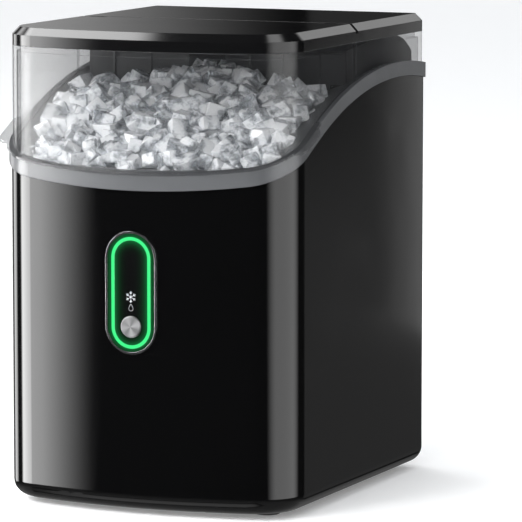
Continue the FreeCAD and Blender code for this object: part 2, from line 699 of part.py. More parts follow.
def window_ring(name, lift):
    """Make the clear wall and its tucked-in neck, standing on the lifted S-line."""
    inset, wall, neck = size("lid_inset"), size("window_wall"), size("neck_wall")
    skin = common(name + "_skin",
                  cut(name + "_ring", case_prism(name + "_outer", inset, 200, "lid_under_z"),
                      case_prism(name + "_inner", inset + wall, 190, "lid_under_z + 5")),
                  rim_prism(name + "_above", rim_side_loop(lift, 400)))
    collar = cut(name + "_neck",
                 case_prism(name + "_neck_outer", inset + wall, "neck_low_z", "neck_high_z"),
                 case_prism(name + "_neck_inner", inset + wall + neck, "neck_low_z - 5",
                            "neck_high_z + 5"))
    return fuse(name, skin, collar)


def lid_window():
    """Clear U-shaped wall of the lid with a lip and two finger tabs."""
    gap, thick = size("lid_gap"), size("lip_thick")
    front = box("window_front_half", -200, -200, 200, 400, "200 + hinge_y - 0.3", 150)
    neck_stop = box("window_neck_stop", "-(half_width - lid_inset - window_wall)", "hinge_y - 6",
                    320, "2 * (half_width - lid_inset - window_wall)", 20, 40)
    wall = cut("window_wall_front", common("window_half", window_ring("window", gap), front),
               neck_stop)
    lip_slab = rim_prism("lip_slab", rim_slab_loop(gap, gap + thick))
    tabs = [prism(f"ear_{side}", "xy",
                  block_loop(min(side * 100, side * (size("half_width") + size("ear_reach"))),
                             max(side * 100, side * (size("half_width") + size("ear_reach"))),
                             size("ear_front_y"), size("ear_front_y") + size("ear_length"), 7),
                  200, 150) for side in (-1, 1)]
    ledge = common("lip_front", case_prism("lip_outer", -size("lip_out"), 200, "top_z"),
                   box("lip_zone", -200, -200, 200, 400, "200 + lip_end_y", 150))
    lip = cut("lip", common("lip_sheet", fuse("lip_plan", ledge, *tabs), lip_slab),
              case_prism("lip_room", size("lid_inset") + 1, 190, "top_z"))
    node(fuse("lid_clear", wall, lip), "lid_window")


def rear_window():
    """Clear wall behind the hinge line: both sides and the back."""
    behind = box("window_rear_half", -200, "hinge_y + lid_gap", 200, 400, 200, 150)
    neck_stop = box("rear_neck_stop", "-(half_width - lid_inset - window_wall)", "hinge_y - 10", 320,
                    "2 * (half_width - lid_inset - window_wall)",
                    "10 + rear_top_gap + lid_skin", 40)
    node(cut("rear_clear", common("rear_clear_blank", window_ring("rear_glass", 0), behind),
             neck_stop), "rear_window")


def lid_inner_panel():
    """Flat panel that closes the lid from below, inside the window's neck."""
    inset = size("lid_inset") + size("window_wall") + size("neck_wall")
    node(common("lid_liner", case_prism("lid_liner_block", inset, "lid_under_z", "lid_under_z + 2"),
                box("lid_liner_half", -200, -200, 300, 400, "200 + hinge_y - 6", 60)),
         "lid_inner_panel")


# ---------------------------------------------------------------- control panel
def stadium_prism(name, wide, tall, front, depth):
    """Make an upright stadium block behind a front plane."""
    return prism(name, "xz", stadium(wide, tall, 0, size("panel_z")), front, depth)


def control_panel():
    """Bezel, black plate, light ring, button, switch and board behind the front."""
    wide, tall, wall = size("panel_wide"), size("panel_tall"), size("bezel_wall")
    node(cut("bezel", stadium_prism("bezel_outer", wide, tall, "bezel_front_y",
                                    "bezel_back_y - bezel_front_y"),
             stadium_prism("bezel_inner", wide - 2 * wall, tall - 2 * wall, "bezel_front_y - 5", 40)),
         "control_bezel")
    ring_wide, ring_tall, line = size("ring_wide"), size("ring_tall"), size("ring_line")
    channel = cut("ring_channel",
                  stadium_prism("channel_outer", ring_wide + line, ring_tall + line,
                                "plate_front_y - 1", "ring_depth + 1"),
                  stadium_prism("channel_inner", ring_wide - line, ring_tall - line,
                                "plate_front_y - 2", "ring_depth + 3"))
    bore = rod("button_bore", "button_radius + button_play", 30, 0, "plate_front_y - 5", "button_z",
               "y")
    node(cut("plate", stadium_prism("plate_block", wide - 2 * wall, tall - 2 * wall, "plate_front_y",
                                    "plate_back_y - plate_front_y"), channel, bore),
         "control_plate")
    node(cut("light", stadium_prism("light_outer", ring_wide + line, ring_tall + line,
                                    "plate_front_y", "ring_depth"),
             stadium_prism("light_inner", ring_wide - line, ring_tall - line, "plate_front_y - 2",
                           "ring_depth + 4")), "light_ring")
    radius = size("button_radius")
    length = size("button_back_y") - size("button_front_y")
    node(turned("button", [(0, 0), (radius - 0.8, 0), (radius, 0.8), (radius, length - 1.5),
                           (radius - 2, length - 1.5), (radius - 2, length), (0, length)],
                0, "button_front_y", "button_z", "y"), "power_button")
    node(stadium_prism("board", wide - 2 * wall - 0.2, tall - 2 * wall - 0.2, "board_front_y", 1.6),
         "display_board")
    node(box("switch", -3, "board_front_y - 2", "button_z - 3", 6, 2, 6), "button_switch")


# ---------------------------------------------------------------- machinery
def compressor():
    """Hermetic compressor on a plate, four grommets and their bolts."""
    radius, low, high = size("comp_radius"), size("comp_low_z"), size("comp_high_z")
    can = rounded("can", rod("can_blank", "comp_radius", "comp_high_z - comp_low_z", "comp_x",
                             "comp_y", "comp_low_z"), 16,
                  lambda edge: at_height(low)(edge) or at_height(high)(edge))
    seam = rod("can_seam", radius + 1.2, 3, "comp_x", "comp_y", "comp_low_z + 58")
    plate = rounded("comp_foot", box("comp_plate_blank", "comp_x - comp_plate / 2",
                                     "comp_y - comp_plate / 2", "comp_low_z - 2.5", "comp_plate",
                                     "comp_plate", 6), 8, vertical)
    stubs = [rod(f"stub_{index}", 3.2, 14, x, y, "comp_high_z - 12")
             for index, (x, y) in enumerate((("comp_x", "comp_y + 14"), ("comp_x - 16", "comp_y + 16")))]
    bores = [rod(f"grommet_bore_{index}", 2.6, 20, x, y, "comp_low_z - 8")
             for index, (x, y) in enumerate(GROMMET_SPOTS)]
    node(cut("comp", fuse("comp_blank", can, seam, plate, *stubs), *bores), "compressor")
    low_grip = size("comp_low_z") - 2.5
    base = size("floor_z") + size("shell_wall") + size("base_thick")
    mounts, bolts = [], []
    for index, (x, y) in enumerate(GROMMET_SPOTS):
        ring = [(2.6, base), (7, base), (7, base + 4), (5.5, base + 5.5), (7, base + 7),
                (7, low_grip), (2.6, low_grip)]
        mounts.append(turned(f"grommet_{index}", ring, x, y, 0))
        bolts.append(fuse(f"bolt_{index}",
                          rod(f"bolt_shank_{index}", 2.5, low_grip + 6 - base, x, y, base),
                          rod(f"bolt_head_{index}", 5, 3, x, y, low_grip + 6)))
    node(group("grommet_group", *mounts), "compressor_mounts")
    node(group("bolt_group", *bolts), "compressor_bolts")


def condenser():
    """Fin stack with a serpentine tube through it."""
    rows = 4
    left, right = size("cond_x") + 2, size("cond_x") + size("cond_wide") - 2
    middle = size("cond_y") + size("cond_deep") / 2
    pitch = size("cond_tall") / rows
    heights = [size("cond_z") + pitch * (row + 0.5) for row in range(rows)]
    path = [(right + 4, middle, heights[0])]
    for row, height in enumerate(heights):
        side = left + 2 if row % 2 == 0 else right - 4
        path.append((side, middle, height))
        if row + 1 < rows:
            path.append((side, middle, heights[row + 1]))
    path[-1] = (right + 4, middle, heights[-1])
    node(pipe("serpentine", path, size("cond_tube"), 8), "condenser_tube")
    count = int((right - left - 22) / size("fin_pitch"))
    bores = fuse("fin_bores", *[rod(f"fin_bore_{row}", "cond_tube", 120, left - 10, middle, height,
                                    "x") for row, height in enumerate(heights)])
    fins = group("fin_blanks", *[box(f"fin_{index}", left + 11 + index * size("fin_pitch"),
                                     "cond_y", "cond_z", "fin_thick", "cond_deep", "cond_tall")
                                 for index in range(count)])
    node(cut("fin_stack", fins, bores), "condenser_fins")


def fan():
    """Shroud with a round bore and struts, its motor and the bladed rotor."""
    shroud = box("shroud_block", "cond_x", "cond_y - 20", "cond_z", "cond_wide", 20, "cond_tall")
    bore = rod("shroud_bore", "fan_bore", 40, "fan_x", "cond_y - 17", "fan_z", "y")
    eye = cut("shroud_eye", rod("shroud_eye_blank", "fan_bore", 10, "fan_x", "cond_y - 22", "fan_z",
                                "y"),
              *[box(f"strut_{tag}", f"fan_x - {wide} / 2", "cond_y - 30", f"fan_z - {tall} / 2", wide,
                    40, tall) for tag, wide, tall in (("level", 90, 6), ("upright", 6, 90))],
              rod("shroud_hub", 17, 30, "fan_x", "cond_y - 28", "fan_z", "y"))
    seat = rod("motor_seat", 6, 30, "fan_x", "cond_y - 28", "fan_z", "y")
    node(cut("shroud", shroud, bore, eye, seat), "fan_shroud")
    node(fuse("motor", rod("motor_can", 15, 18, "fan_x", "cond_y - 38", "fan_z", "y"),
              rod("motor_shaft", 2, 8, "fan_x", "cond_y - 17.5", "fan_z", "y"),
              rod("motor_boss", 6, 3, "fan_x", "cond_y - 20", "fan_z", "y")), "fan_motor")
    hub = cut("rotor_hub", rod("rotor_hub_blank", 13, 12, "fan_x", "cond_y - 15", "fan_z", "y"),
              rod("rotor_bore", 2.05, 40, "fan_x", "cond_y - 30", "fan_z", "y"))
    blades = []
    for index in range(7):
        blade = doc.addObject("Part::Box", f"blade_{index}")
        bind(blade, Length="fan_radius - 12.5", Width=10, Height=1.6)
        turn = FreeCAD.Rotation(FreeCAD.Vector(0, 1, 0), 360 / 7 * index)
        pitch = FreeCAD.Rotation(FreeCAD.Vector(1, 0, 0), 35)
        seat = FreeCAD.Vector(size("fan_x"), size("cond_y") - 9, size("fan_z"))
        whole = turn.multiply(pitch)
        blade.Placement = FreeCAD.Placement(
            seat + turn.multVec(FreeCAD.Vector(11.5, 0, 0)) - whole.multVec(FreeCAD.Vector(0, 5, 0.8)),
            whole)
        blades.append(blade)
    tips = rod("rotor_limit", "fan_radius", 13, "fan_x", "cond_y - 15.5", "fan_z", "y")
    node(cut("rotor", common("rotor_trim", fuse("rotor_blank", hub, *blades), tips),
             rod("rotor_shaft_room", 2.05, 40, "fan_x", "cond_y - 30", "fan_z", "y")), "fan_rotor")


def helix_sweep(name, radius, pitch, low, high, section):
    """Sweep a closed section along an upright helix about the auger's axis."""
    helix = doc.addObject("Part::Helix", name + "_helix")
    helix.Pitch = pitch
    helix.Height = high - low
    helix.Radius = radius
    place(helix, "auger_x", "auger_y", low)
    sweep = doc.addObject("Part::Sweep", name)
    sweep.Sections = [section]
    doc.recompute()
    sweep.Spine = (helix, [f"Edge{number + 1}" for number in range(len(helix.Shape.Edges))])
    sweep.Solid = True
    sweep.Frenet = True
    return sweep


def auger_flight():
    """Wind the screw's flight, a flat strip, round its core."""
    low, high = size("barrel_low_z") + 6, size("barrel_high_z") - 14
    inner, outer, thick = size("screw_shaft") - 1, size("flight_radius"), 3
    spine = Part.makeHelix(size("flight_pitch"), high - low, (inner + outer) / 2)
    corners = [(inner, 0), (outer, 0), (outer, thick), (inner, thick), (inner, 0)]
    strip = Part.makePolygon([FreeCAD.Vector(across, 0, up) for across, up in corners])
    shell = Part.BRepOffsetAPI.MakePipeShell(spine)
    shell.setFrenetMode(True)
    shell.add(Part.Wire(strip))
    shell.build()
    shell.makeSolid()
    solid = shell.shape()
    if solid.Volume < 0:
        solid.reverse()
    flight = doc.addObject("Part::Feature", "flight")
    flight.Shape = solid
    return place(flight, "auger_x", "auger_y", low)


def auger_column():
    """Freezing barrel, its screw, coil, foam, bearing, head, chute and drive."""
    axis = ("auger_x", "auger_y")
    node(cut("barrel", fuse("barrel_blank",
                            rod("barrel_skin", "barrel_radius", "barrel_high_z - barrel_low_z",
                                *axis, "barrel_low_z"),
                            rod("barrel_flange", 29, 4, *axis, "barrel_low_z - 4")),
             rod("barrel_bore", "barrel_bore", 200, *axis, "barrel_low_z"),
             rod("barrel_seat", 14, 20, *axis, "barrel_low_z - 6")), "auger_barrel")
    node(cut("bearing", rod("bearing_ring", 14, 4, *axis, "barrel_low_z - 4"),
             rod("bearing_bore", "screw_shaft + 0.05", 20, *axis, "barrel_low_z - 8")),
         "auger_bearing")
    node(fuse("screw", rod("screw_core", "screw_shaft", "barrel_high_z - barrel_low_z + 12", *axis,
                           "barrel_low_z - 7"), auger_flight()), "auger_screw")
    ring = doc.addObject("Part::Circle", "coil_section")
    bind(ring, Radius="coil_tube")
    ring.Placement = FreeCAD.Placement(FreeCAD.Vector(), PLANES["xz"])
    place(ring, "auger_x + coil_radius", "auger_y", "coil_low_z")
    node(helix_sweep("coil", size("coil_radius"), size("coil_pitch"), size("coil_low_z"),
                     size("coil_high_z"), ring), "evaporator_coil")
    node(cut("foam", rod("foam_block", "foam_radius", "coil_high_z - coil_low_z - 8", *axis,
                         "coil_low_z + 4"),
             rod("foam_room", "foam_bore", 200, *axis, "coil_low_z")), "barrel_insulation")
    holes = [rod(f"head_hole_{index}", 3.6, 20,
                 f"auger_x + 14 * cos({index * 45})", f"auger_y + 14 * sin({index * 45})",
                 "barrel_high_z - 5") for index in range(8)]
    node(cut("head", rod("head_block", "barrel_radius", 8, *axis, "barrel_high_z"),
             rod("head_bore", "screw_shaft + 0.05", 20, *axis, "barrel_high_z - 5"), *holes),
         "extruder_head")
    chute = box("chute_block", "mouth_x - mouth_half - 3", "back_wall_y + back_wall_thick",
                "mouth_low_z", "2 * mouth_half + 6", 62, "mouth_high_z - mouth_low_z + 2.4")
    hollow = box("chute_room", "mouth_x - mouth_half", "back_wall_y - 5", "mouth_low_z + 0.01",
                 "2 * mouth_half", 68, "mouth_high_z - mouth_low_z")
    ramp = prism("chute_ramp", "yz",
                 loop_of([point(size("back_wall_y") + size("back_wall_thick"), size("mouth_low_z")),
                          point(19, size("mouth_low_z")), point(19, size("mouth_low_z") + 5)]),
                 "mouth_x - mouth_half", "2 * mouth_half")
    node(cut("chute", fuse("chute_blank", cut("chute_shell", chute, hollow), ramp),
             rod("chute_throat", "barrel_bore", 10, *axis, "mouth_low_z - 5")), "ice_chute")
    gearbox = rounded("gearbox", box("gearbox_block", "auger_x - 36", "auger_y - 31",
                                     "barrel_low_z - 48", 57, 64, 44), 6, vertical)
    node(cut("gearbox_case", gearbox, rod("gearbox_bore", "screw_shaft + 0.05", 12, *axis,
                                          "barrel_low_z - 8")), "auger_gearbox")
    node(rounded("gear_motor", rod("gear_motor_can", 24, 50, "auger_x - 11", "auger_y",
                                   "barrel_low_z - 98"), 4, at_height(size("barrel_low_z") - 98)),
         "auger_motor")


def water_system():
    """Reservoir, cover, float, pump and the hoses."""
    wall, half = size("tank_wall"), size("tank_half")
    front, back = size("tank_front_y"), size("tank_back_y")
    outer = prism("tank_outer", "xy", block_loop(-half, half, front, back, 16), "tank_low_z",
                  "tank_high_z - tank_low_z")
    inner = prism("tank_inner", "xy", block_loop(wall - half, half - wall, front + wall, back - wall,
                                                 14), "tank_low_z + tank_wall", 200)
    outlets = [rod("tank_drain", 3, 12, "drain_x", "tank_back_y - 6", "drain_z", "y"),
               rod("tank_feed", 3, 12, -70, "tank_back_y - 6", 24, "y")]
    node(cut("tank", outer, inner, *outlets), "water_reservoir")
    node(prism("tank_lid", "xy", block_loop(-half, half, front, back, 16), "tank_high_z", 2.5),
         "reservoir_cover")
    node(fuse("stem", rod("stem_rod", 3, "tank_high_z - tank_low_z - tank_wall", 60, -62,
                          "tank_low_z + tank_wall"),
              rod("stem_stop", 5, 2, 60, -62, 34), rod("stem_top", 5, 2, 60, -62, 74)),
         "float_stem")
    node(cut("float_ring", rod("float_block", 10, 14, 60, -62, 36),
             rod("float_bore", 3.05, 40, 60, -62, 20)), "float_ring")
    base = "floor_z + shell_wall + base_thick"
    node(fuse("pump", rod("pump_can", 13, 26, -70, 6, base),
              rod("pump_head", 16, 10, -70, 6, base),
              rod("pump_spout", 3.5, 12, -70, 6, base + " + 24"),
              rod("pump_inlet", 3.5, 14, -70, -16, 24, "y")), "water_pump")
    node(pipe("feed_hose", [(-70, 6, 44), (-70, 6, 136), (-70, 43, 136),
                            (size("auger_x") - size("barrel_radius") - 0.5, 43, 136)], 3, 12),
         "pump_hose")
    rear = size("back_y") + size("panel_thick")
    node(cut("drain_pipe", rod("drain_skin", 4.5, f"{rear} - 10 - tank_back_y", "drain_x",
                               "tank_back_y", "drain_z", "y"),
             rod("drain_inner", 3, 400, "drain_x", -100, "drain_z", "y")), "drain_hose")
    port = fuse("port_blank", rod("port_tube", 7, 10, "drain_x", rear - 10, "drain_z", "y"),
                rod("port_flange", 10, 1, "drain_x", rear, "drain_z", "y"))
    node(cut("port", port, rod("port_bore", 5.05, 30, "drain_x", rear - 15, "drain_z", "y")),
         "drain_port")
    node(fuse("plug", rod("plug_stem", 5, 9, "drain_x", rear - 8, "drain_z", "y"),
              rod("plug_head", 7.5, 1.5, "drain_x", rear + 1, "drain_z", "y")), "drain_plug")


def refrigerant_lines():
    """Copper lines between compressor, condenser, drier and coil."""
    coil_x = size("auger_x") + size("coil_radius")
    coil_y, middle = size("auger_y"), size("cond_y") + size("cond_deep") / 2
    cond_right = size("cond_x") + size("cond_wide") + 2
    low_row = size("cond_z") + size("cond_tall") / 8
    high_row = size("cond_z") + size("cond_tall") * 7 / 8
    comp_x, comp_y, comp_top = size("comp_x"), size("comp_y"), size("comp_high_z") + 2
    node(pipe("hot_line", [(comp_x - 16, comp_y + 16, comp_top), (comp_x - 16, comp_y + 16, 138),
                           (-4, comp_y + 16, 138), (-4, middle, 138), (-4, middle, high_row),
                           (cond_right, middle, high_row)], 2.5, 6), "discharge_line")
    node(pipe("cold_line", [(coil_x, coil_y, size("coil_high_z")), (coil_x, coil_y + 30,
                                                                   size("coil_high_z")),
                            (comp_x, comp_y + 14, size("coil_high_z") - 20),
                            (comp_x, comp_y + 14, comp_top)], size("coil_tube"), 10), "suction_line")
    node(pipe("wet_line", [(cond_right, middle, low_row), (-9, middle, low_row), (-9, 94, low_row),
                           (-9, 94, 136), (-40, 94, 136), (-40, 94, 152)], 2.2, 4), "liquid_line")
    node(turned("drier", [(0, 152), (3, 152), (9, 160), (9, 196), (3, 204), (0, 204)], -40, 94, 0),
         "filter_drier")
    node(pipe("thin_line", [(-40, 94, 204), (-40, 94, 216), (-40, 13, 216), (-40, 13, 135.5),
                            (coil_x, 13, 135.5), (coil_x, 26, size("coil_low_z")),
                            (coil_x, coil_y, size("coil_low_z"))], 1.1, 4), "capillary_tube")


def electrics():
    """Main board on its tray, the power inlet and the front harness."""
    node(box("tray", 104.5, 40, 158, 3, 88, 96), "board_tray")
    pieces = [box("board_sheet", 102.9, 43, 161, 1.6, 82, 90),
              box("relay_block", 90.9, 52, 170, 12, 22, 18),
              box("transformer", 84.9, 52, 206, 18, 28, 28),
              box("terminal_row", 92.9, 90, 166, 10, 30, 9)]
    pieces += [rod(f"capacitor_{index}", 6, 20, 82.9, 96 + 15 * index, 222, "x") for index in range(2)]
    node(fuse("main_board_blank", *pieces), "main_board")
    rear = "back_y + panel_thick"
    flange = rounded("inlet_flange", box("inlet_flange_block", 48, rear, 124, 44, 1.5, 32), 4,
                     lambda edge: edge.BoundBox.YLength > 1 and edge.BoundBox.ZLength < 0.01
                     and edge.BoundBox.XLength < 0.01)
    body = box("inlet_body", 56, rear + " - 24", 129, 28, 24.5, 22)
    socket = box("inlet_socket", 58, rear + " - 18", 131, 24, 30, 18)
    prongs = [box(f"inlet_prong_{index}", 65.5 + 5 * index - 1, rear + " - 18.5",
                  138 + 3 * (index % 2), 2, 14, 4) for index in range(3)]
    node(fuse("inlet", cut("inlet_shell", fuse("inlet_blank", flange, body), socket), *prongs),
         "power_inlet")
    node(pipe("loom", [(101, 46, 157), (101, 12, 138), (60, -60, 131), (8, -112, 131),
                       (8, -130, 140)], 2.5, 14), "wire_harness")


FOOT_SPOTS = [(x, y) for x in ("-foot_x", "foot_x") for y in ("foot_front_y", "foot_back_y")]
SCREW_ROWS = (24, 156, 288)
SCREW_SPOTS = [(x, height) for x in ("-screw_x", "screw_x") for height in SCREW_ROWS]
SCREW_VALUES = [(side * size("screw_x"), height) for side in (-1, 1) for height in SCREW_ROWS]
GROMMET_SPOTS = [(f"comp_x + {side} * (comp_plate / 2 - 7)", f"comp_y + {end} * (comp_plate / 2 - 7)")
                 for side in (-1, 1) for end in (-1, 1)]
SENSOR_Y, SENSOR_Z = -40, 268


def build():
    """Build every sub-part in assembly order."""
    for make in (outer_shell, feet, base_plate, rear_panel, rear_screws, rim_frame, bin_liner,
                 bin_back_wall, rear_housing, ice_basket, ice_sensors, lid_top, lid_window,
                 lid_inner_panel, hinge_pins, rear_top, rear_window, control_panel, compressor,
                 condenser, fan, auger_column, water_system, refrigerant_lines, electrics):
        make()


def check_and_write():
    """Refuse any failed object, then write one STEP file for each sub-part."""
    doc.recompute()
    failed = [item.Name for item in doc.Objects if {"Invalid", "Error"} & set(item.State)]
    for part in nodes:
        if part.Shape.isNull() or not part.Shape.isValid() or not part.Shape.Solids:
            failed.append(part.Label)
    if failed:
        raise RuntimeError("failed objects: " + ", ".join(failed))
    os.makedirs("parts", exist_ok=True)
    for part in nodes:
        part.Shape.exportStep(f"parts/{part.Label}.step")
        bounds = part.Shape.BoundBox
        print(f"{part.Label:20s} solids {len(part.Shape.Solids):3d}  volume {part.Shape.Volume:10.0f}"
              f"  x {bounds.XMin:7.1f} {bounds.XMax:7.1f}  y {bounds.YMin:7.1f} {bounds.YMax:7.1f}"
              f"  z {bounds.ZMin:6.1f} {bounds.ZMax:6.1f}")
    print(len(nodes), "nodes")


build()
check_and_write()
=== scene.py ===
"""Looks of a counter-top nugget ice maker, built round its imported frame."""

import json
import logging
import math
import random
from dataclasses import dataclass, field
from enum import Enum
from typing import Protocol

import bmesh
import bpy
from mathutils import Matrix, Quaternion, Vector, noise


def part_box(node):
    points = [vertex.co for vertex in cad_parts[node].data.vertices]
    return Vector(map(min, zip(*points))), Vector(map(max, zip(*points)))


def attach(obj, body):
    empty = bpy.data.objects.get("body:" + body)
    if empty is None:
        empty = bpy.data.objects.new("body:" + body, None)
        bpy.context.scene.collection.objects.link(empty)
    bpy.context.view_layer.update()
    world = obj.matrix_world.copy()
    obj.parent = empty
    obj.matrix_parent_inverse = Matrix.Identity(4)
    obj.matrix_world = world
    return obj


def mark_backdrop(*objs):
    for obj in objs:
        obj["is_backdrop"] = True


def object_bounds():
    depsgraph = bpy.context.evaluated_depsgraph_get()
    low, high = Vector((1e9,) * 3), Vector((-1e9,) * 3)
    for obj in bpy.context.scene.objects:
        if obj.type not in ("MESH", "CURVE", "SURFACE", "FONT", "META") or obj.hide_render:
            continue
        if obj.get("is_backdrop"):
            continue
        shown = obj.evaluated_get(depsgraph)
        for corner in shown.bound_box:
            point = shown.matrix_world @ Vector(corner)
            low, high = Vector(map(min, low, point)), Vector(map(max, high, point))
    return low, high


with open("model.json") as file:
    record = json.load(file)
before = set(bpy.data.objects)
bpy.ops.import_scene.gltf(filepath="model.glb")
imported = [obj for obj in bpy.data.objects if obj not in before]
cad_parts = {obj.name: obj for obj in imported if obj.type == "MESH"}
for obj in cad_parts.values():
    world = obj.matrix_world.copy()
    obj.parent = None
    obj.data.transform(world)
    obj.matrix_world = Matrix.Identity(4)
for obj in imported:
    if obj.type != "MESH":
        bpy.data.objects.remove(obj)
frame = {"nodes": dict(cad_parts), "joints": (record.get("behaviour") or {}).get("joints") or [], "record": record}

LOG = logging.getLogger("ice_maker")
MM = 0.001
Colour = tuple[float, float, float]
Mould = tuple[list[Vector], list[tuple[int, ...]]]
Socket = bpy.types.NodeSocket


class Body(Enum):
    """The moving bodies that pieces ride on."""

    CABINET = "cabinet"
    BASKET = "basket"


class Grain(Enum):
    """How a metal was worked."""

    BRUSHED = "brushed"
    TURNED = "turned"
    DRAWN = "drawn"


# ---------------------------------------------------------------- shader bench
class Bench:
    """A material's node tree with short methods for the nodes that finishes share."""

    def __init__(self, name: str) -> None:
        """Start an empty material.

        Args:
            name: the material's name.
        """
        self.material = bpy.data.materials.new(name)
        self.material.use_nodes = True
        self.tree = self.material.node_tree
        self.tree.nodes.clear()
        self.output = self.add("ShaderNodeOutputMaterial")
        self.shader = self.add("ShaderNodeBsdfPrincipled")
        self.link(self.shader.outputs["BSDF"], self.output.inputs["Surface"])
        self.place = self.add("ShaderNodeTexCoord").outputs["Object"]

    def add(self, kind: str, **settings: object) -> bpy.types.Node:
        """Add a node and set its properties.

        Args:
            kind: the node's type.
            settings: the properties by name.

        Returns:
            The node.
        """
        made = self.tree.nodes.new(kind)
        for key, value in settings.items():
            setattr(made, key, value)
        return made

    def link(self, source: Socket, target: Socket) -> None:
        """Join two sockets."""
        self.tree.links.new(source, target)

    def feed(self, socket: Socket, value: object) -> None:
        """Give a socket a link or a constant.

        Args:
            socket: the input to fill.
            value: another node's output, a colour or a number.
        """
        if isinstance(value, Socket):
            self.link(value, socket)
        elif isinstance(value, tuple):
            socket.default_value = (*value, 1.0)[:len(socket.default_value)]
        else:
            socket.default_value = value

    def set(self, **values: object) -> None:
        """Set the shader's own sockets.

        Args:
            values: the values by socket name, an underscore standing for a space.
        """
        for key, value in values.items():
            self.feed(self.shader.inputs[key.replace("_", " ")], value)

    def math(self, operation: str, first: object, second: object = 0.5,
             clamp: bool = False) -> Socket:
        """Combine two numbers.

        Args:
            operation: the node's operation.
            first: a number or an output.
            second: a number or an output, unused by an operation on one number.
            clamp: whether to keep the result between 0 and 1.

        Returns:
            The result.
        """
        made = self.add("ShaderNodeMath", operation=operation, use_clamp=clamp)
        self.feed(made.inputs[0], first)
        self.feed(made.inputs[1], second)
        return made.outputs[0]

    def stretch(self, scale: Colour) -> Socket:
        """Scale the object coordinates along each axis.

        Args:
            scale: the factor along X, Y and Z.

        Returns:
            The scaled coordinates.
        """
        made = self.add("ShaderNodeMapping")
        self.link(self.place, made.inputs["Vector"])
        made.inputs["Scale"].default_value = scale
        return made.outputs["Vector"]

    def cloud(self, scale: float, detail: float = 4.0, rough: float = 0.55,
              where: Socket | None = None) -> Socket:
        """Make soft noise.

        Args:
            scale: how many lumps go to a metre.
            detail: how many finer layers are added.
            rough: how strong the finer layers are.
            where: coordinates to use in place of the object's.

        Returns:
            The noise, about 0.3 to 0.7.
        """
        made = self.add("ShaderNodeTexNoise")
        self.link(where or self.place, made.inputs["Vector"])
        made.inputs["Scale"].default_value = scale
        made.inputs["Detail"].default_value = detail
        made.inputs["Roughness"].default_value = rough
        return made.outputs["Fac"]

    def cells(self, scale: float) -> Socket:
        """Make a pattern of cells.

        Args:
            scale: how many cells go to a metre.

        Returns:
            The distance to the nearest cell's point.
        """
        made = self.add("ShaderNodeTexVoronoi", feature="F1")
        self.link(self.place, made.inputs["Vector"])
        made.inputs["Scale"].default_value = scale
        return made.outputs["Distance"]

    def spread(self, value: Socket, low: float, high: float,
               start: float = 0.3, stop: float = 0.7) -> Socket:
        """Map a value onto a range.

        Args:
            value: the value to map.
            low: the result at start.
            high: the result at stop.
            start: the value that gives low.
            stop: the value that gives high.

        Returns:
            The mapped value, kept between low and high.
        """
        made = self.add("ShaderNodeMapRange", clamp=True)
        for key, number in (("From Min", start), ("From Max", stop), ("To Min", low),
                            ("To Max", high)):
            made.inputs[key].default_value = number
        self.link(value, made.inputs["Value"])
        return made.outputs["Result"]

    def blend(self, factor: object, first: object, second: object) -> Socket:
        """Mix two colours.

        Args:
            factor: how much of the second one to take, from 0 to 1.
            first: the colour at 0.
            second: the colour at 1.

        Returns:
            The mixed colour.
        """
        made = self.add("ShaderNodeMix", data_type="RGBA")
        for index, value in ((0, factor), (6, first), (7, second)):
            self.feed(made.inputs[index], value)
        return made.outputs[2]

    def edge(self, radius: float) -> tuple[Socket, Socket]:
        """Soften corners in shading.

        Args:
            radius: the corner's radius in metres.

        Returns:
            The rounded normal and a mask that is 1 on corners, where the finishes paint a highlight.
        """
        bevel = self.add("ShaderNodeBevel", samples=6)
        bevel.inputs["Radius"].default_value = radius
        plain = self.add("ShaderNodeNewGeometry").outputs["Normal"]
        agree = self.add("ShaderNodeVectorMath", operation="DOT_PRODUCT")
        self.link(bevel.outputs["Normal"], agree.inputs[0])
        self.link(plain, agree.inputs[1])
        away = self.math("SUBTRACT", 1.0, agree.outputs["Value"])
        return bevel.outputs["Normal"], self.spread(away, 0.0, 1.0, 0.02, 0.25)

    def bump(self, height: Socket, strength: float, distance: float,
             normal: Socket | None = None) -> Socket:
        """Turn a height into a normal.

        Args:
            height: the height, from 0 to 1.
            strength: how strongly it shows.
            distance: the height of 1, in metres.
            normal: the normal that it starts from.

        Returns:
            The bent normal.
        """
        made = self.add("ShaderNodeBump")
        made.inputs["Strength"].default_value = strength
        made.inputs["Distance"].default_value = distance
        self.link(height, made.inputs["Height"])
        if normal is not None:
            self.link(normal, made.inputs["Normal"])
        return made.outputs["Normal"]


# ---------------------------------------------------------------- finishes
class Finish(Protocol):
    """Anything that builds into a material."""

    def build(self, name: str) -> bpy.types.Material:
        """Return the finish as a material of this name."""


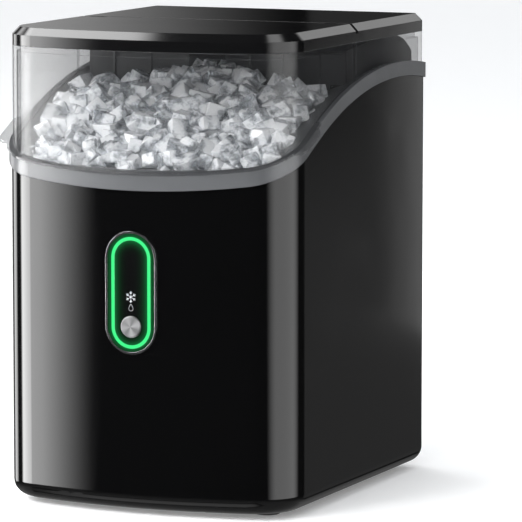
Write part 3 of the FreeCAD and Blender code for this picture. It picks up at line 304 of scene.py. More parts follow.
@dataclass(frozen=True)
class Moulded:
    """Moulded plastic, painted sheet, rubber or foam."""

    colour: Colour
    roughness: float = 0.4
    spot: float = 0.12
    grain: float = 1500.0
    relief: float = 0.15
    depth: float = 0.00004
    corner: float = 0.0004
    painted_edge_highlight: float = 1.35
    coat: float = 0.0
    specular: float = 0.5
    translucent: float = 0.0
    blotch: float = 22.0
    handling: float = 60.0

    def build(self, name: str) -> bpy.types.Material:
        """Build the finish.

        Args:
            name: the material's name.

        Returns:
            The material.
        """
        bench = Bench(name)
        normal, corner = bench.edge(self.corner)
        slow = bench.cloud(self.blotch, detail=5.0)
        fine = bench.cloud(self.grain, detail=3.0)
        dark = tuple(part * (1.0 - self.spot) for part in self.colour)
        pale = tuple(min(1.0, part * (1.0 + self.spot) + 0.001) for part in self.colour)
        # Corners are painted lighter: a painted highlight where a rounded edge would catch the light.
        lit = tuple(min(1.0, part * self.painted_edge_highlight + 0.006) for part in self.colour)
        tone = bench.blend(bench.spread(slow, 0.0, 1.0), dark, pale)
        tone = bench.blend(bench.math("MULTIPLY", corner, 0.5), tone, lit)
        smoothest = max(0.02, self.roughness * (1.0 - self.spot * 1.5))
        rough = bench.spread(bench.cloud(self.handling, detail=6.0, rough=0.65), smoothest,
                             self.roughness * 1.2)
        bench.set(Base_Color=tone, Roughness=rough, Specular_IOR_Level=self.specular,
                  Coat_Weight=self.coat, Coat_Roughness=0.03,
                  Transmission_Weight=self.translucent,
                  Normal=bench.bump(fine, self.relief, self.depth, normal))
        return bench.material


@dataclass(frozen=True)
class Lacquer:
    """Deep gloss shell with a faint ripple and finger haze."""

    colour: Colour
    roughness: float = 0.05
    ripple: float = 0.10
    haze: float = 0.06
    specular: float = 0.5
    corner: float = 0.0006
    wave: float = 9.0
    peel: float = 420.0
    smear: float = 7.0
    streak: float = 160.0
    speck: float = 650.0
    dust: float = 0.04

    def build(self, name: str) -> bpy.types.Material:
        """Build the finish.

        Args:
            name: the material's name.

        Returns:
            The material.
        """
        bench = Bench(name)
        normal, corner = bench.edge(self.corner)
        wave = bench.cloud(self.wave, detail=2.0, rough=0.4)
        peel = bench.cloud(self.peel, detail=2.0, rough=0.5)
        smear = bench.spread(bench.cloud(self.smear, detail=6.0, rough=0.6), 0.0, 1.0,
                             start=0.5, stop=0.8)
        streak = bench.spread(bench.cloud(self.streak, detail=5.0, rough=0.7), 0.3, 1.0)
        film = bench.math("MULTIPLY", smear, streak)
        dust = bench.spread(bench.cells(self.speck), 1.0, 0.0, start=0.02, stop=0.09)
        # Corners are painted lighter: a painted highlight on the edges.
        lit = tuple(min(1.0, part * 1.6 + 0.01) for part in self.colour)
        tone = bench.blend(bench.spread(bench.cloud(5.0), 0.0, 1.0), self.colour,
                           tuple(part * 1.15 for part in self.colour))
        tone = bench.blend(bench.math("MULTIPLY", corner, 0.4), tone, lit)
        rough = bench.math("ADD", bench.math("MULTIPLY", film, self.haze),
                           bench.math("MULTIPLY", dust, self.dust))
        rough = bench.math("ADD", rough, self.roughness, clamp=True)
        soft = bench.bump(wave, self.ripple, distance=0.0008, normal=normal)
        bench.set(Base_Color=tone, Roughness=rough, Specular_IOR_Level=self.specular,
                  Normal=bench.bump(peel, strength=0.05, distance=0.00002, normal=soft))
        return bench.material


@dataclass(frozen=True)
class Metal:
    """Bare metal with the marks of how it was worked."""

    colour: Colour
    roughness: float = 0.3
    grain: Grain = Grain.BRUSHED
    centre: Colour = (0.0, 0.0, 0.0)
    stain: float = 0.15
    metallic: float = 1.0
    corner: float = 0.0003
    along: Colour = (60.0, 60.0, 2600.0)
    drawn: Colour = (900.0, 900.0, 900.0)
    rings: float = 2600.0
    sectors: float = 4.0
    phase: float = 0.5
    painted_sector_shade: float = 0.45

    def around(self, bench: Bench) -> bpy.types.Node:
        """Measure coordinates from the turned face's centre.

        Args:
            bench: the material in work.

        Returns:
            A node with X, Y and Z outputs.
        """
        seat = bench.add("ShaderNodeMapping")
        seat.inputs["Location"].default_value = tuple(-part for part in self.centre)
        bench.link(bench.place, seat.inputs["Vector"])
        parts = bench.add("ShaderNodeSeparateXYZ")
        bench.link(seat.outputs["Vector"], parts.inputs[0])
        return parts

    def painted_turned_sheen(self, bench: Bench) -> Socket:
        """Paint light and dark sectors on a turned face: a painted highlight and painted shade in place of the
        anisotropic reflection of its lathe marks.

        Args:
            bench: the material in work.

        Returns:
            0 in the dark sectors and 1 in the light ones.
        """
        parts = self.around(bench)
        turn = bench.math("ARCTAN2", parts.outputs[2], parts.outputs[0])
        turned = bench.math("ADD", bench.math("MULTIPLY", turn, self.sectors), self.phase)
        wave = bench.math("SINE", turned)
        uneven = bench.math("SINE", bench.math("MULTIPLY", turn, self.sectors - 1.0))
        both = bench.math("ADD", wave, bench.math("MULTIPLY", uneven, 0.5))
        return bench.spread(both, 0.0, 1.0, start=-1.2, stop=1.3)

    def marks(self, bench: Bench) -> Socket:
        """Make the height of brush, lathe or die marks.

        Args:
            bench: the material in work.

        Returns:
            The height.
        """
        if self.grain is Grain.TURNED:
            parts = self.around(bench)
            square = [bench.math("MULTIPLY", parts.outputs[index], parts.outputs[index])
                      for index in (0, 2)]
            ring = bench.add("ShaderNodeCombineXYZ")
            bench.link(bench.math("SQRT", bench.math("ADD", *square)), ring.inputs[0])
            return bench.cloud(self.rings, detail=4.0, rough=0.7, where=ring.outputs[0])
        along = self.along if self.grain is Grain.BRUSHED else self.drawn
        return bench.cloud(1.0, detail=5.0, rough=0.65, where=bench.stretch(along))

    def build(self, name: str) -> bpy.types.Material:
        """Build the finish.

        Args:
            name: the material's name.

        Returns:
            The material.
        """
        bench = Bench(name)
        normal, corner = bench.edge(self.corner)
        marks = self.marks(bench)
        dull = tuple(part * (1.0 - self.stain) for part in self.colour)
        stained = bench.spread(bench.cloud(45.0, detail=6.0, rough=0.6), 0.0, 1.0)
        tone = bench.blend(stained, dull, self.colour)
        # Corners are painted lighter: a painted highlight on the edges.
        tone = bench.blend(bench.math("MULTIPLY", corner, 0.5), tone,
                           tuple(min(1.0, part * 1.25) for part in self.colour))
        # A turned face gets painted light and dark sectors: painted highlight and shade standing in for its
        # anisotropic reflection.
        if self.grain is Grain.TURNED:
            painted_sector_shade = tuple(part * self.painted_sector_shade for part in self.colour)
            tone = bench.blend(self.painted_turned_sheen(bench), painted_sector_shade, tone)
        rough = bench.spread(marks, self.roughness * 0.75, self.roughness * 1.3)
        bench.set(Base_Color=tone, Metallic=self.metallic, Roughness=rough,
                  Normal=bench.bump(marks, strength=0.25, distance=0.00004, normal=normal))
        return bench.material


@dataclass(frozen=True)
class ClearPlastic:
    """Smoky clear wall that shows more of its surface at a glancing angle."""

    colour: Colour
    body: float = 0.16
    rim: float = 0.55
    roughness: float = 0.03
    corner: float = 0.0005
    painted_edge_highlight: Colour = (0.55, 0.57, 0.59)

    def build(self, name: str) -> bpy.types.Material:
        """Build the finish.

        Args:
            name: the material's name.

        Returns:
            The material.
        """
        bench = Bench(name)
        normal, corner = bench.edge(self.corner)
        facing = bench.add("ShaderNodeLayerWeight")
        facing.inputs["Blend"].default_value = 0.32
        bench.link(normal, facing.inputs["Normal"])
        glance = bench.math("POWER", facing.outputs["Facing"], 1.7)
        film = bench.spread(bench.cloud(30.0, detail=6.0, rough=0.65), 0.0, 0.03,
                            start=0.45, stop=0.8)
        solid = bench.math("ADD", bench.math("MULTIPLY", glance, self.rim), self.body)
        # Corners are made more solid and paler: a painted highlight on the edges.
        solid = bench.math("ADD", solid, bench.math("MULTIPLY", corner, 0.35))
        solid = bench.math("ADD", solid, film, clamp=True)
        tone = bench.blend(bench.math("MULTIPLY", corner, 0.4), self.colour, self.painted_edge_highlight)
        rough = bench.spread(bench.cloud(90.0, detail=6.0, rough=0.7), self.roughness,
                             self.roughness * 2.2)
        bench.set(Base_Color=tone, Roughness=rough, Alpha=solid, Specular_IOR_Level=0.9,
                  Coat_Weight=0.6, Coat_Roughness=0.02,
                  Normal=bench.bump(bench.cloud(14.0, detail=2.0), strength=0.06,
                                    distance=0.0008, normal=normal))
        return bench.material


@dataclass(frozen=True)
class Frost:
    """Nugget ice: clear facets over a cloudy white heart and fine bubbles."""

    colour: Colour = (0.97, 0.98, 1.0)
    milk: Colour = (0.84, 0.88, 0.92)
    cloudy: float = 0.12
    clear: float = 0.78
    heart: float = 78.0
    bubble: float = 1100.0

    def build(self, name: str) -> bpy.types.Material:
        """Build the finish.

        Args:
            name: the material's name.

        Returns:
            The material.
        """
        bench = Bench(name)
        heart = bench.cloud(self.heart, detail=4.0, rough=0.6)
        bubble = bench.cells(self.bubble)
        tone = bench.blend(bench.spread(heart, 0.0, 1.0, start=0.38, stop=0.60), self.milk,
                           self.colour)
        through = bench.spread(heart, self.clear, self.cloudy, start=0.40, stop=0.54)
        rough = bench.spread(bench.cloud(240.0, detail=4.0, rough=0.6), 0.04, 0.16)
        wet = bench.bump(bench.cloud(120.0, detail=2.0, rough=0.5), strength=0.22,
                         distance=0.0006)
        bench.set(Base_Color=tone, Roughness=rough, IOR=1.31, Transmission_Weight=through,
                  Specular_IOR_Level=0.7, Coat_Weight=0.8, Coat_Roughness=0.04,
                  Normal=bench.bump(bubble, strength=0.08, distance=0.0002, normal=wet))
        return bench.material


@dataclass(frozen=True)
class Glow:
    """Lit diffuser with a faint drift in its tone."""

    colour: Colour
    strength: float = 5.0

    def build(self, name: str) -> bpy.types.Material:
        """Build the finish.

        Args:
            name: the material's name.

        Returns:
            The material.
        """
        bench = Bench(name)
        drift = bench.spread(bench.cloud(120.0, detail=3.0), 0.86, 1.0)
        pale = tuple(min(1.0, part * 0.9 + 0.04) for part in self.colour)
        tone = bench.blend(drift, self.colour, pale)
        tone = bench.blend(0.25, self.colour, tone)
        bench.set(Base_Color=tuple(part * 0.15 for part in self.colour), Roughness=0.35,
                  Emission_Color=tone, Emission_Strength=self.strength,
                  Normal=bench.bump(bench.cloud(900.0), strength=0.1, distance=0.00003))
        return bench.material


@dataclass(frozen=True)
class LitPlate:
    """Black gloss insert with painted light: the glow of the stadium ring round it, painted on as emission."""

    colour: Colour
    glow: Colour
    centre: Vector
    half_line: float
    half_wide: float
    reach: float = 0.0020
    strength: float = 0.30

    def distance(self, bench: Bench) -> Socket:
        """Measure the distance from the ring's centre line.

        Args:
            bench: the material in work.

        Returns:
            The distance in metres.
        """
        parts = bench.add("ShaderNodeSeparateXYZ")
        bench.link(bench.place, parts.inputs[0])
        up = bench.math("SUBTRACT", parts.outputs[2], self.centre.z)
        past = bench.math("MAXIMUM", bench.math("SUBTRACT", bench.math("ABSOLUTE", up),
                                                self.half_line), 0.0)
        across = bench.math("SUBTRACT", parts.outputs[0], self.centre.x)
        square = bench.math("ADD", bench.math("MULTIPLY", past, past),
                            bench.math("MULTIPLY", across, across))
        return bench.math("ABSOLUTE", bench.math("SUBTRACT", bench.math("SQRT", square),
                                                 self.half_wide))

    def build(self, name: str) -> bpy.types.Material:
        """Build the finish.

        Args:
            name: the material's name.

        Returns:
            The material.
        """
        bench = Bench(name)
        # The ring's light on the plate is painted: an emission that fades with distance from the ring.
        fade = bench.math("POWER", math.e, bench.math("MULTIPLY", self.distance(bench),
                                                      -1.0 / self.reach))
        glow = bench.blend(fade, (0.0, 0.0, 0.0), self.glow)
        normal, _ = bench.edge(0.0003)
        rough = bench.spread(bench.cloud(80.0, detail=6.0), 0.05, 0.11)
        tone = bench.blend(bench.cloud(14.0), self.colour, tuple(part * 2 for part in self.colour))
        bench.set(Base_Color=tone, Roughness=rough, Emission_Color=glow,
                  Emission_Strength=self.strength,
                  Normal=bench.bump(bench.cloud(700.0, detail=2.0), strength=0.04,
                                    distance=0.00002, normal=normal))
        return bench.material


@dataclass(frozen=True)
class CircuitBoard:
    """Green board with lighter tracks under the varnish."""

    colour: Colour = (0.02, 0.13, 0.05)
    track: Colour = (0.05, 0.26, 0.10)
    solder: Colour = (0.55, 0.56, 0.55)
    pitch: float = 260.0

    def build(self, name: str) -> bpy.types.Material:
        """Build the finish.

        Args:
            name: the material's name.

        Returns:
            The material.
        """
        bench = Bench(name)
        brick = bench.add("ShaderNodeTexBrick")
        bench.link(bench.stretch((self.pitch,) * 3), brick.inputs["Vector"])
        brick.inputs["Mortar Size"].default_value = 0.05
        tone = bench.blend(brick.outputs["Fac"], self.colour, self.track)
        joints = bench.spread(bench.cells(420.0), 1.0, 0.0, start=0.02, stop=0.12)
        tone = bench.blend(joints, tone, self.solder)
        bench.set(Base_Color=tone, Roughness=bench.spread(bench.cloud(80.0), 0.25, 0.45),
                  Normal=bench.bump(brick.outputs["Fac"], strength=0.4, distance=0.0001))
        return bench.material


# ---------------------------------------------------------------- mesh bench
def new_piece(name: str, mesh: bpy.types.Mesh, body: Body,
              material: bpy.types.Material) -> bpy.types.Object:
    """Link a mesh as a piece that rides on a body.

    Args:
        name: the piece's name.
        mesh: its finished mesh, in the frame's metres.
        body: the body that it moves with.
        material: its finish.

    Returns:
        The new object.
    """
    made = bpy.data.objects.new(name, mesh)
    bpy.context.scene.collection.objects.link(made)
    mesh.materials.append(material)
    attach(made, body.value)
    LOG.info("made %s on %s", name, body.value)
    return made


def smooth(mesh: bpy.types.Mesh) -> None:
    """Set smooth shading on every face."""
    mesh.polygons.foreach_set("use_smooth", [True] * len(mesh.polygons))


# ---------------------------------------------------------------- the machine's own nodes
@dataclass
class Workshop:
    """Every finish of the machine, by the record's slot name."""

    ring_stroke: float = 2.6 * MM
    finishes: dict[str, Finish] = field(default_factory=dict)
    made: dict[str, bpy.types.Material] = field(default_factory=dict)

    def stock(self) -> None:
        """List the finishes: a plastic's numbers are roughness, spot, grain and relief."""
        low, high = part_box("light_ring")
        centre = (low + high) / 2
        half_wide = (high.x - low.x - self.ring_stroke) / 2
        half_line = (high.z - low.z - self.ring_stroke) / 2 - half_wide
        button_low, button_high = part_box("power_button")
        self.finishes = {
            "case_black": Lacquer((0.0012, 0.0012, 0.0013), roughness=0.07, specular=0.42),
            "top_black": Lacquer((0.0025, 0.0025, 0.0027), roughness=0.11, haze=0.08,
                                 specular=0.4),
            "rim_grey": Moulded((0.068, 0.070, 0.074), 0.30, 0.06, 1800.0, 0.12, corner=0.0009,
                                coat=0.15),
            "bin_grey": Moulded((0.10, 0.104, 0.108), 0.38, 0.08, 1500.0, 0.15, corner=0.0012),
            "wall_grey": Moulded((0.020, 0.021, 0.022), 0.42, 0.10, 1200.0, 0.2),
            "clear_plastic": ClearPlastic((0.030, 0.031, 0.033)),
            "basket_grey": Moulded((0.085, 0.09, 0.11), 0.42, 0.08, 1400.0, 0.2, corner=0.001),
            "inner_black": Moulded((0.007, 0.007, 0.008), 0.45, 0.15, 1100.0, 0.35),
            "panel_black": LitPlate((0.0015, 0.0015, 0.0016), (0.01, 0.9, 0.20), centre, half_line,
                                    half_wide),
            "bezel_metal": Metal((0.40, 0.41, 0.42), 0.20),
            "button_steel": Metal((0.25, 0.25, 0.253), 0.42, Grain.TURNED,
                                  tuple((button_low + button_high) / 2), metallic=0.4),
            "light_green": Glow((0.012, 0.80, 0.19), strength=0.92),
            "foot_rubber": Moulded((0.022, 0.022, 0.022), 0.75, 0.2, 700.0, 0.5),
            "zinc_steel": Metal((0.55, 0.56, 0.57), 0.36),
            "copper": Metal((0.82, 0.44, 0.30), 0.25, Grain.DRAWN, stain=0.3),
            "can_black": Moulded((0.014, 0.014, 0.016), 0.32, 0.15, 500.0, 0.3),
            "fin_aluminium": Metal((0.80, 0.81, 0.82), 0.33),
            "stainless": Metal((0.66, 0.67, 0.68), 0.24),
            "foam_grey": Moulded((0.055, 0.055, 0.06), 0.85, 0.25, 420.0, 0.8, depth=0.0003),
            "pump_white": Moulded((0.62, 0.62, 0.60), 0.45, 0.05, 900.0, 0.2),
            "hose_clear": Moulded((0.70, 0.70, 0.68), 0.3, 0.05, 600.0, 0.1, translucent=0.4),
            "board_green": CircuitBoard(),
            "wire_black": Moulded((0.02, 0.02, 0.02), 0.5, 0.2, 900.0, 0.3),
        }

    def material(self, slot: str) -> bpy.types.Material:
        """Find a slot's material, building it the first time.

        Args:
            slot: the record's material slot.

        Returns:
            The material.
        """
        if slot not in self.made:
            self.made[slot] = self.finishes[slot].build(slot)
        return self.made[slot]

    def dress_frame(self) -> None:
        """Give every carried-over node its finish."""
        for part in frame["record"]["subparts"]:
            piece = frame["nodes"][part["node"]]
            piece.data.materials.clear()
            piece.data.materials.append(self.material(part["material_slot"]))
            LOG.info("dressed %s as %s", part["node"], part["material_slot"])


# ---------------------------------------------------------------- control panel marks
@dataclass
class PanelMarks:
    """Two generic symbols above the button: an ice crystal and a cleaning drop."""

    crystal_radius: float = 4.1 * MM
    stroke: float = 0.30 * MM
    proud: float = 0.12 * MM
    crystal_rise: float = 21.5 * MM
    arms: int = 6
    twig_seat: float = 0.60
    twig_long: float = 0.30
    twig_lean: float = 0.9
    drop_rise: float = 13.2 * MM
    drop_radius: float = 1.7 * MM
    drop_strokes: int = 22
    drop_peak: float = 0.85
    drop_pinch: float = 0.25

    def bar(self, mesh: bmesh.types.BMesh, start: Vector, stop: Vector, front: float) -> None:
        """Add one raised stroke between two points of the plate.

        Args:
            mesh: the marks so far.
            start: the middle of one end.
            stop: the middle of the other end.
            front: the plate's front face, along Y.
        """
        along = (stop - start).normalized()
        side = Vector((-along.z, 0.0, along.x)) * self.stroke / 2
        ends = [start - along * self.stroke / 2, stop + along * self.stroke / 2]
        corners = [ends[0] - side, ends[1] - side, ends[1] + side, ends[0] + side]
        back = [mesh.verts.new((corner.x, front, corner.z)) for corner in corners]
        face = [mesh.verts.new((corner.x, front - self.proud, corner.z)) for corner in corners]
        mesh.faces.new(face)
        mesh.faces.new(back[::-1])
        for index in range(4):
            following = (index + 1) % 4
            mesh.faces.new((back[index], back[following], face[following], face[index]))

    def crystal(self, mesh: bmesh.types.BMesh, centre: Vector) -> None:
        """Add a crystal with a pair of twigs on each arm.

        Args:
            mesh: the marks so far.
            centre: the crystal's middle on the plate.
        """
        step = 360 / self.arms
        for arm in range(self.arms):
            turn = math.radians(step * arm + step / 2)
            out = Vector((math.cos(turn), 0.0, math.sin(turn)))
            self.bar(mesh, centre, centre + out * self.crystal_radius, centre.y)
            fork = centre + out * self.crystal_radius * self.twig_seat
            for lean in (-self.twig_lean, self.twig_lean):
                twig = Vector((math.cos(turn + lean), 0.0, math.sin(turn + lean)))
                self.bar(mesh, fork, fork + twig * self.crystal_radius * self.twig_long,
                         centre.y)

    def drop(self, mesh: bmesh.types.BMesh, centre: Vector) -> None:
        """Add the outline of a drop.

        Args:
            mesh: the marks so far.
            centre: the middle of the drop's round part.
        """
        points = []
        for step in range(self.drop_strokes):
            turn = 2 * math.pi * step / self.drop_strokes
            lift = 1.0 + self.drop_peak * max(0.0, math.sin(turn)) ** 3
            slim = 1.0 - self.drop_pinch * (lift - 1.0)
            points.append(centre + Vector((math.cos(turn) * self.drop_radius * slim, 0.0,
                                           math.sin(turn) * self.drop_radius * lift)))
        for start, stop in zip(points, points[1:] + points[:1]):
            self.bar(mesh, start, stop, centre.y)

    def build(self) -> None:
        """Make the marks as one thin printed piece."""
        plate_low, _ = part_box("control_plate")
        low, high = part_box("power_button")
        seat = Vector(((low.x + high.x) / 2, plate_low.y, (low.z + high.z) / 2))
        mesh = bmesh.new()
        self.crystal(mesh, seat + Vector((0.0, 0.0, self.crystal_rise)))
        self.drop(mesh, seat + Vector((0.0, 0.0, self.drop_rise)))
        data = bpy.data.meshes.new("panel_marks")
        mesh.to_mesh(data)
        mesh.free()
        ink = Moulded((0.62, 0.64, 0.66), 0.5, 0.04, 2500.0, 0.1).build("panel_ink")
        new_piece("panel_marks", data, Body.CABINET, ink)


# ---------------------------------------------------------------- ice
@dataclass(frozen=True)
class NuggetCast:
    """How a nugget differs from a plain block, in half nuggets."""

    sides: tuple[tuple[float, float], ...] = ((0.95, 1.3), (0.8, 1.1), (0.7, 1.0))
    corner: tuple[float, float] = (0.86, 1.03)
    chips: int = 2
    chip: tuple[float, float] = (0.98, 1.30)
    flat: float = math.radians(9)
    soften: float = 0.13
    steps: int = 3

    def pour(self, rng: random.Random) -> Mould:
        """Cast one skewed block with broken, softened corners.

        Args:
            rng: where the shape's chances come from.

        Returns:
            The block's points and its faces.
        """
        mesh = bmesh.new()
        size = Vector([rng.uniform(*side) for side in self.sides])
        for corner in range(8):
            signs = [1.0 if corner >> axis & 1 else -1.0 for axis in range(3)]
            mesh.verts.new([sign * part * rng.uniform(*self.corner)
                            for sign, part in zip(signs, size)])
        bmesh.ops.convex_hull(mesh, input=mesh.verts)
        for _ in range(self.chips):
            axis = Vector([rng.gauss(0, 1) for _ in range(3)]).normalized()
            bmesh.ops.bisect_plane(mesh, geom=mesh.verts[:] + mesh.edges[:] + mesh.faces[:],
                                   plane_co=axis * rng.uniform(*self.chip), plane_no=axis,
                                   clear_outer=True)
            bmesh.ops.holes_fill(mesh, edges=[edge for edge in mesh.edges if edge.is_boundary])
        bmesh.ops.dissolve_limit(mesh, angle_limit=self.flat, verts=mesh.verts,
                                 edges=mesh.edges)
        bmesh.ops.bevel(mesh, geom=mesh.edges, offset=self.soften, segments=self.steps,
                        profile=0.5, affect="EDGES", clamp_overlap=True)
        bmesh.ops.triangulate(mesh, faces=[face for face in mesh.faces if len(face.verts) > 4])
        cast = self.ordered(mesh)
        mesh.free()
        return cast

    def ordered(self, mesh: bmesh.types.BMesh) -> Mould:
        """List a block's points and faces in an order that is the same in every run.

        Args:
            mesh: the finished block.

        Returns:
            The block's points and its faces.
        """
        verts = sorted(mesh.verts, key=lambda vert: tuple(vert.co))
        for index, vert in enumerate(verts):
            vert.index = index
        faces = []
        for face in mesh.faces:
            loop = [vert.index for vert in face.verts]
            first = loop.index(min(loop))
            faces.append(tuple(loop[first:] + loop[:first]))
        return [vert.co.copy() for vert in verts], sorted(faces)


@dataclass
class IceHeap:
    """The heap of chewable nuggets in the basket and a few in the mouth."""

    seed: int = 11
    shapes: int = 18
    cast: NuggetCast = NuggetCast()
    nugget: float = 6.7 * MM
    sizes: tuple[float, float] = (0.78, 1.22)
    sharp: float = math.radians(36)
    # the loose heap
    pitch: float = 11.8 * MM
    scatter: float = 0.36
    layers: int = 3
    layer_drop: float = 0.66
    sink: float = 0.5
    last_row: float = -3 * MM
    back_edge: float = -5 * MM
    heap_inset: float = 13 * MM
    edge_drop: float = 4.5 * MM
    crown: float = 9 * MM
    crown_inset: float = 16 * MM
    crown_round: float = 0.8
    swell_front: float = 0.15
    swell_rise: float = 1.35
    sag: float = 0.15
    sag_from: float = 0.7
    spill: float = 11 * MM
    spill_seat: tuple[float, float] = (2 * MM, -6 * MM)
    spill_wide: tuple[float, float] = (24 * MM, 26 * MM)
    lump: float = 5.5 * MM
    lumps: float = 26
    lump_slice: float = 1.7
    # the line of the case and the room that the ice has
    case_bend: float = 0.360
    crest_y: float = 0.081
    case_slope: float = math.radians(25.64)
    front_room: float = 8 * MM
    front_sweep: float = 34 * MM
    front_round: float = 0.92
    liner_wall: float = 2 * MM
    bow_radius: float = 350 * MM
    bow_centre_y: float = 208 * MM
    corner_radius: float = 38 * MM
    wall_room: float = 6 * MM
    back_room: float = 12 * MM
    lid_gap: float = 1 * MM
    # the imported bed
    bed_drop: float = 12 * MM
    bed_side: float = 12 * MM
    bed_front: float = 14 * MM
    bed_back: float = 8 * MM
    bed_deep: float = 42 * MM
    bed_grid: tuple[int, int] = (56, 34)
    bed_rough: float = 2.4 * MM
    bed_grain: float = 150
    bed_slice: float = 3.1
    bed_foot: tuple[float, float] = (0.97, 0.99)
    # the nuggets in the mouth
    mouth_nuggets: int = 9
    mouth_columns: int = 5
    mouth_inset: float = 9 * MM
    mouth_front: float = -2 * MM
    mouth_row: float = 6 * MM
    mouth_low: float = 9 * MM
    mouth_hop: float = 4 * MM
    mouth_scale: float = 0.72
    # found when the heap is made
    rng: random.Random = field(init=False)
    moulds: list[Mould] = field(init=False)
    liner_low: Vector = field(init=False)
    liner_high: Vector = field(init=False)
    basket_low: Vector = field(init=False)
    basket_high: Vector = field(init=False)
    band_top: float = field(init=False)
    ceiling: float = field(init=False)
    side_stop: float = field(init=False)
    back_stop: float = field(init=False)

    def __post_init__(self) -> None:
        """Seed the heap, cast its shapes and read the places that it depends on."""
        self.rng = random.Random(self.seed)
        self.moulds = [self.cast.pour(self.rng) for _ in range(self.shapes)]
        self.liner_low, self.liner_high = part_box("bin_liner")
        self.basket_low, self.basket_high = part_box("ice_basket")
        self.band_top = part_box("rim_frame")[1].z
        lift = next(joint for joint in frame["joints"] if joint["name"] == "basket_lift")
        self.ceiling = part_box("lid_inner_panel")[0].z - lift["range_m"][1] - self.lid_gap
        self.side_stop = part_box("outer_shell")[1].x - self.wall_room
        self.back_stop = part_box("bin_back_wall")[0].y - self.back_room

    def rim_height(self, back: float) -> float:
        """Return the height of the case's S-shaped top line at a depth.

        Args:
            back: the place along Y, in metres.

        Returns:
            The height in metres.
        """
        bend, slope = self.case_bend, self.case_slope
        centre_z = self.band_top - bend
        join_y = self.crest_y - bend * math.sin(slope)
        if back < join_y:
            return centre_z + bend * math.cos(slope) - (join_y - back) * math.tan(slope)
        return centre_z + math.sqrt(bend ** 2 - (back - self.crest_y) ** 2)

    def surface(self, across: float, back: float) -> float:
        """Return the heap's own height over a point of the bin.

        Args:
            across: the place along X, in metres.
            back: the place along Y, in metres.

        Returns:
            The height in metres.
        """
        half = self.liner_high.x - self.crown_inset
        side = max(0.0, 1.0 - (across / half) ** 2)
        depth = (back - self.liner_low.y) / (0.0 - self.liner_low.y)
        swell = (min(1.0, self.swell_front + self.swell_rise * max(0.0, depth))
                 * (1.0 - self.sag * max(0.0, depth - self.sag_from)))
        spot = Vector((across * self.lumps, back * self.lumps, self.lump_slice))
        lump = noise.noise(spot) * self.lump
        fallen = math.exp(-((across - self.spill_seat[0]) / self.spill_wide[0]) ** 2
                          - ((back - self.spill_seat[1]) / self.spill_wide[1]) ** 2)
        return (self.rim_height(back) - self.edge_drop
                + self.crown * side ** self.crown_round * swell + self.spill * fallen + lump)

    def front_line(self, across: float) -> float:
        """Return how far forward the ice may lie at a place across the bin.

        Args:
            across: the place along X, in metres.

        Returns:
            The place along Y, in metres.
        """
        half = self.liner_high.x - self.liner_wall
        bow = 1.0 - math.sqrt(max(0.0, 1.0 - (across / half) ** 2 * self.front_round))
        return self.liner_low.y + self.front_room + bow * self.front_sweep

    def front_wall(self, across: float) -> float:
        """Return the inside of the window's bowed front at a place across it.

        Args:
            across: the place along X, in metres.

        Returns:
            The place along Y, in metres.
        """
        across = min(abs(across), self.side_stop)
        inner = self.bow_radius - self.wall_room
        bow = self.bow_centre_y - math.sqrt(inner ** 2 - across ** 2)
        seat_x = self.side_stop + self.wall_room - self.corner_radius
        if across <= seat_x:
            return bow
        turn = self.corner_radius - self.wall_room
        seat_y = self.bow_centre_y - math.sqrt((self.bow_radius - self.corner_radius) ** 2
                                               - seat_x ** 2)
        return seat_y - math.sqrt(max(0.0, turn ** 2 - (across - seat_x) ** 2))

    def settle(self, corners: list[Vector]) -> list[Vector]:
        """Move a nugget clear of the lid, the back wall and the window.

        Args:
            corners: the nugget's points.

        Returns:
            The points where it has room when the basket is lifted.
        """
        over = max(0.0, max(corner.z for corner in corners) - self.ceiling)
        past = max(0.0, max(corner.y for corner in corners) - self.back_stop)
        right = max(0.0, max(corner.x for corner in corners) - self.side_stop)
        left = max(0.0, -min(corner.x for corner in corners) - self.side_stop)
        corners = [corner + Vector((left - right, -past, -over)) for corner in corners]
        ahead = max(0.0, max(self.front_wall(corner.x) - corner.y for corner in corners))
        return [corner + Vector((0.0, ahead, 0.0)) for corner in corners]

    def pour(self, name: str, seats: list[Vector], scale: float, body: Body,
             material: bpy.types.Material) -> bpy.types.Object:
        """Put a turned nugget at every seat and join them as one piece.

        Args:
            name: the piece's name.
            seats: the nuggets' middles.
            scale: size factor for this lot.
            body: the body that they ride on.
            material: the ice.

        Returns:
            The piece.
        """
        points, faces = [], []
        for seat in seats:
            shape, sides = self.rng.choice(self.moulds)
            size = self.nugget * scale * self.rng.uniform(*self.sizes)
            turn = Quaternion(Vector([self.rng.gauss(0, 1) for _ in range(3)]).normalized(),
                              self.rng.uniform(0, 2 * math.pi))
            base = len(points)
            corners = [seat + turn @ (corner * size) for corner in shape]
            points.extend(self.settle(corners) if body is Body.BASKET else corners)
            faces.extend(tuple(base + index for index in side) for side in sides)
        mesh = bpy.data.meshes.new(name)
        mesh.from_pydata(points, [], faces)
        smooth(mesh)
        mesh.set_sharp_from_angle(angle=self.sharp)
        return new_piece(name, mesh, body, material)

    def scattered(self) -> float:
        """Return a chance shift within a seat."""
        return self.rng.uniform(-self.scatter, self.scatter) * self.pitch

    def heap_seats(self) -> list[Vector]:
        """Find the places of the heap's nuggets, layer by layer.

        Returns:
            The nuggets' middles.
        """
        seats = []
        half = self.liner_high.x - self.heap_inset
        columns = int(2 * half / self.pitch)
        rows = int((0.0 - self.liner_low.y) / self.pitch)
        for layer in range(self.layers):
            for column in range(columns + 1):
                for row in range(rows + 1):
                    across = -half + column * self.pitch + self.scattered()
                    back = self.last_row - row * self.pitch + self.scattered()
                    back = min(back, self.back_edge)
                    across = max(-half, min(half, across))
                    if back < self.front_line(across):
                        continue
                    drop = (layer * self.pitch * self.layer_drop
                            + self.rng.uniform(0, self.sink) * self.pitch)
                    seats.append(Vector((across, back, self.surface(across, back) - drop)))
        return seats

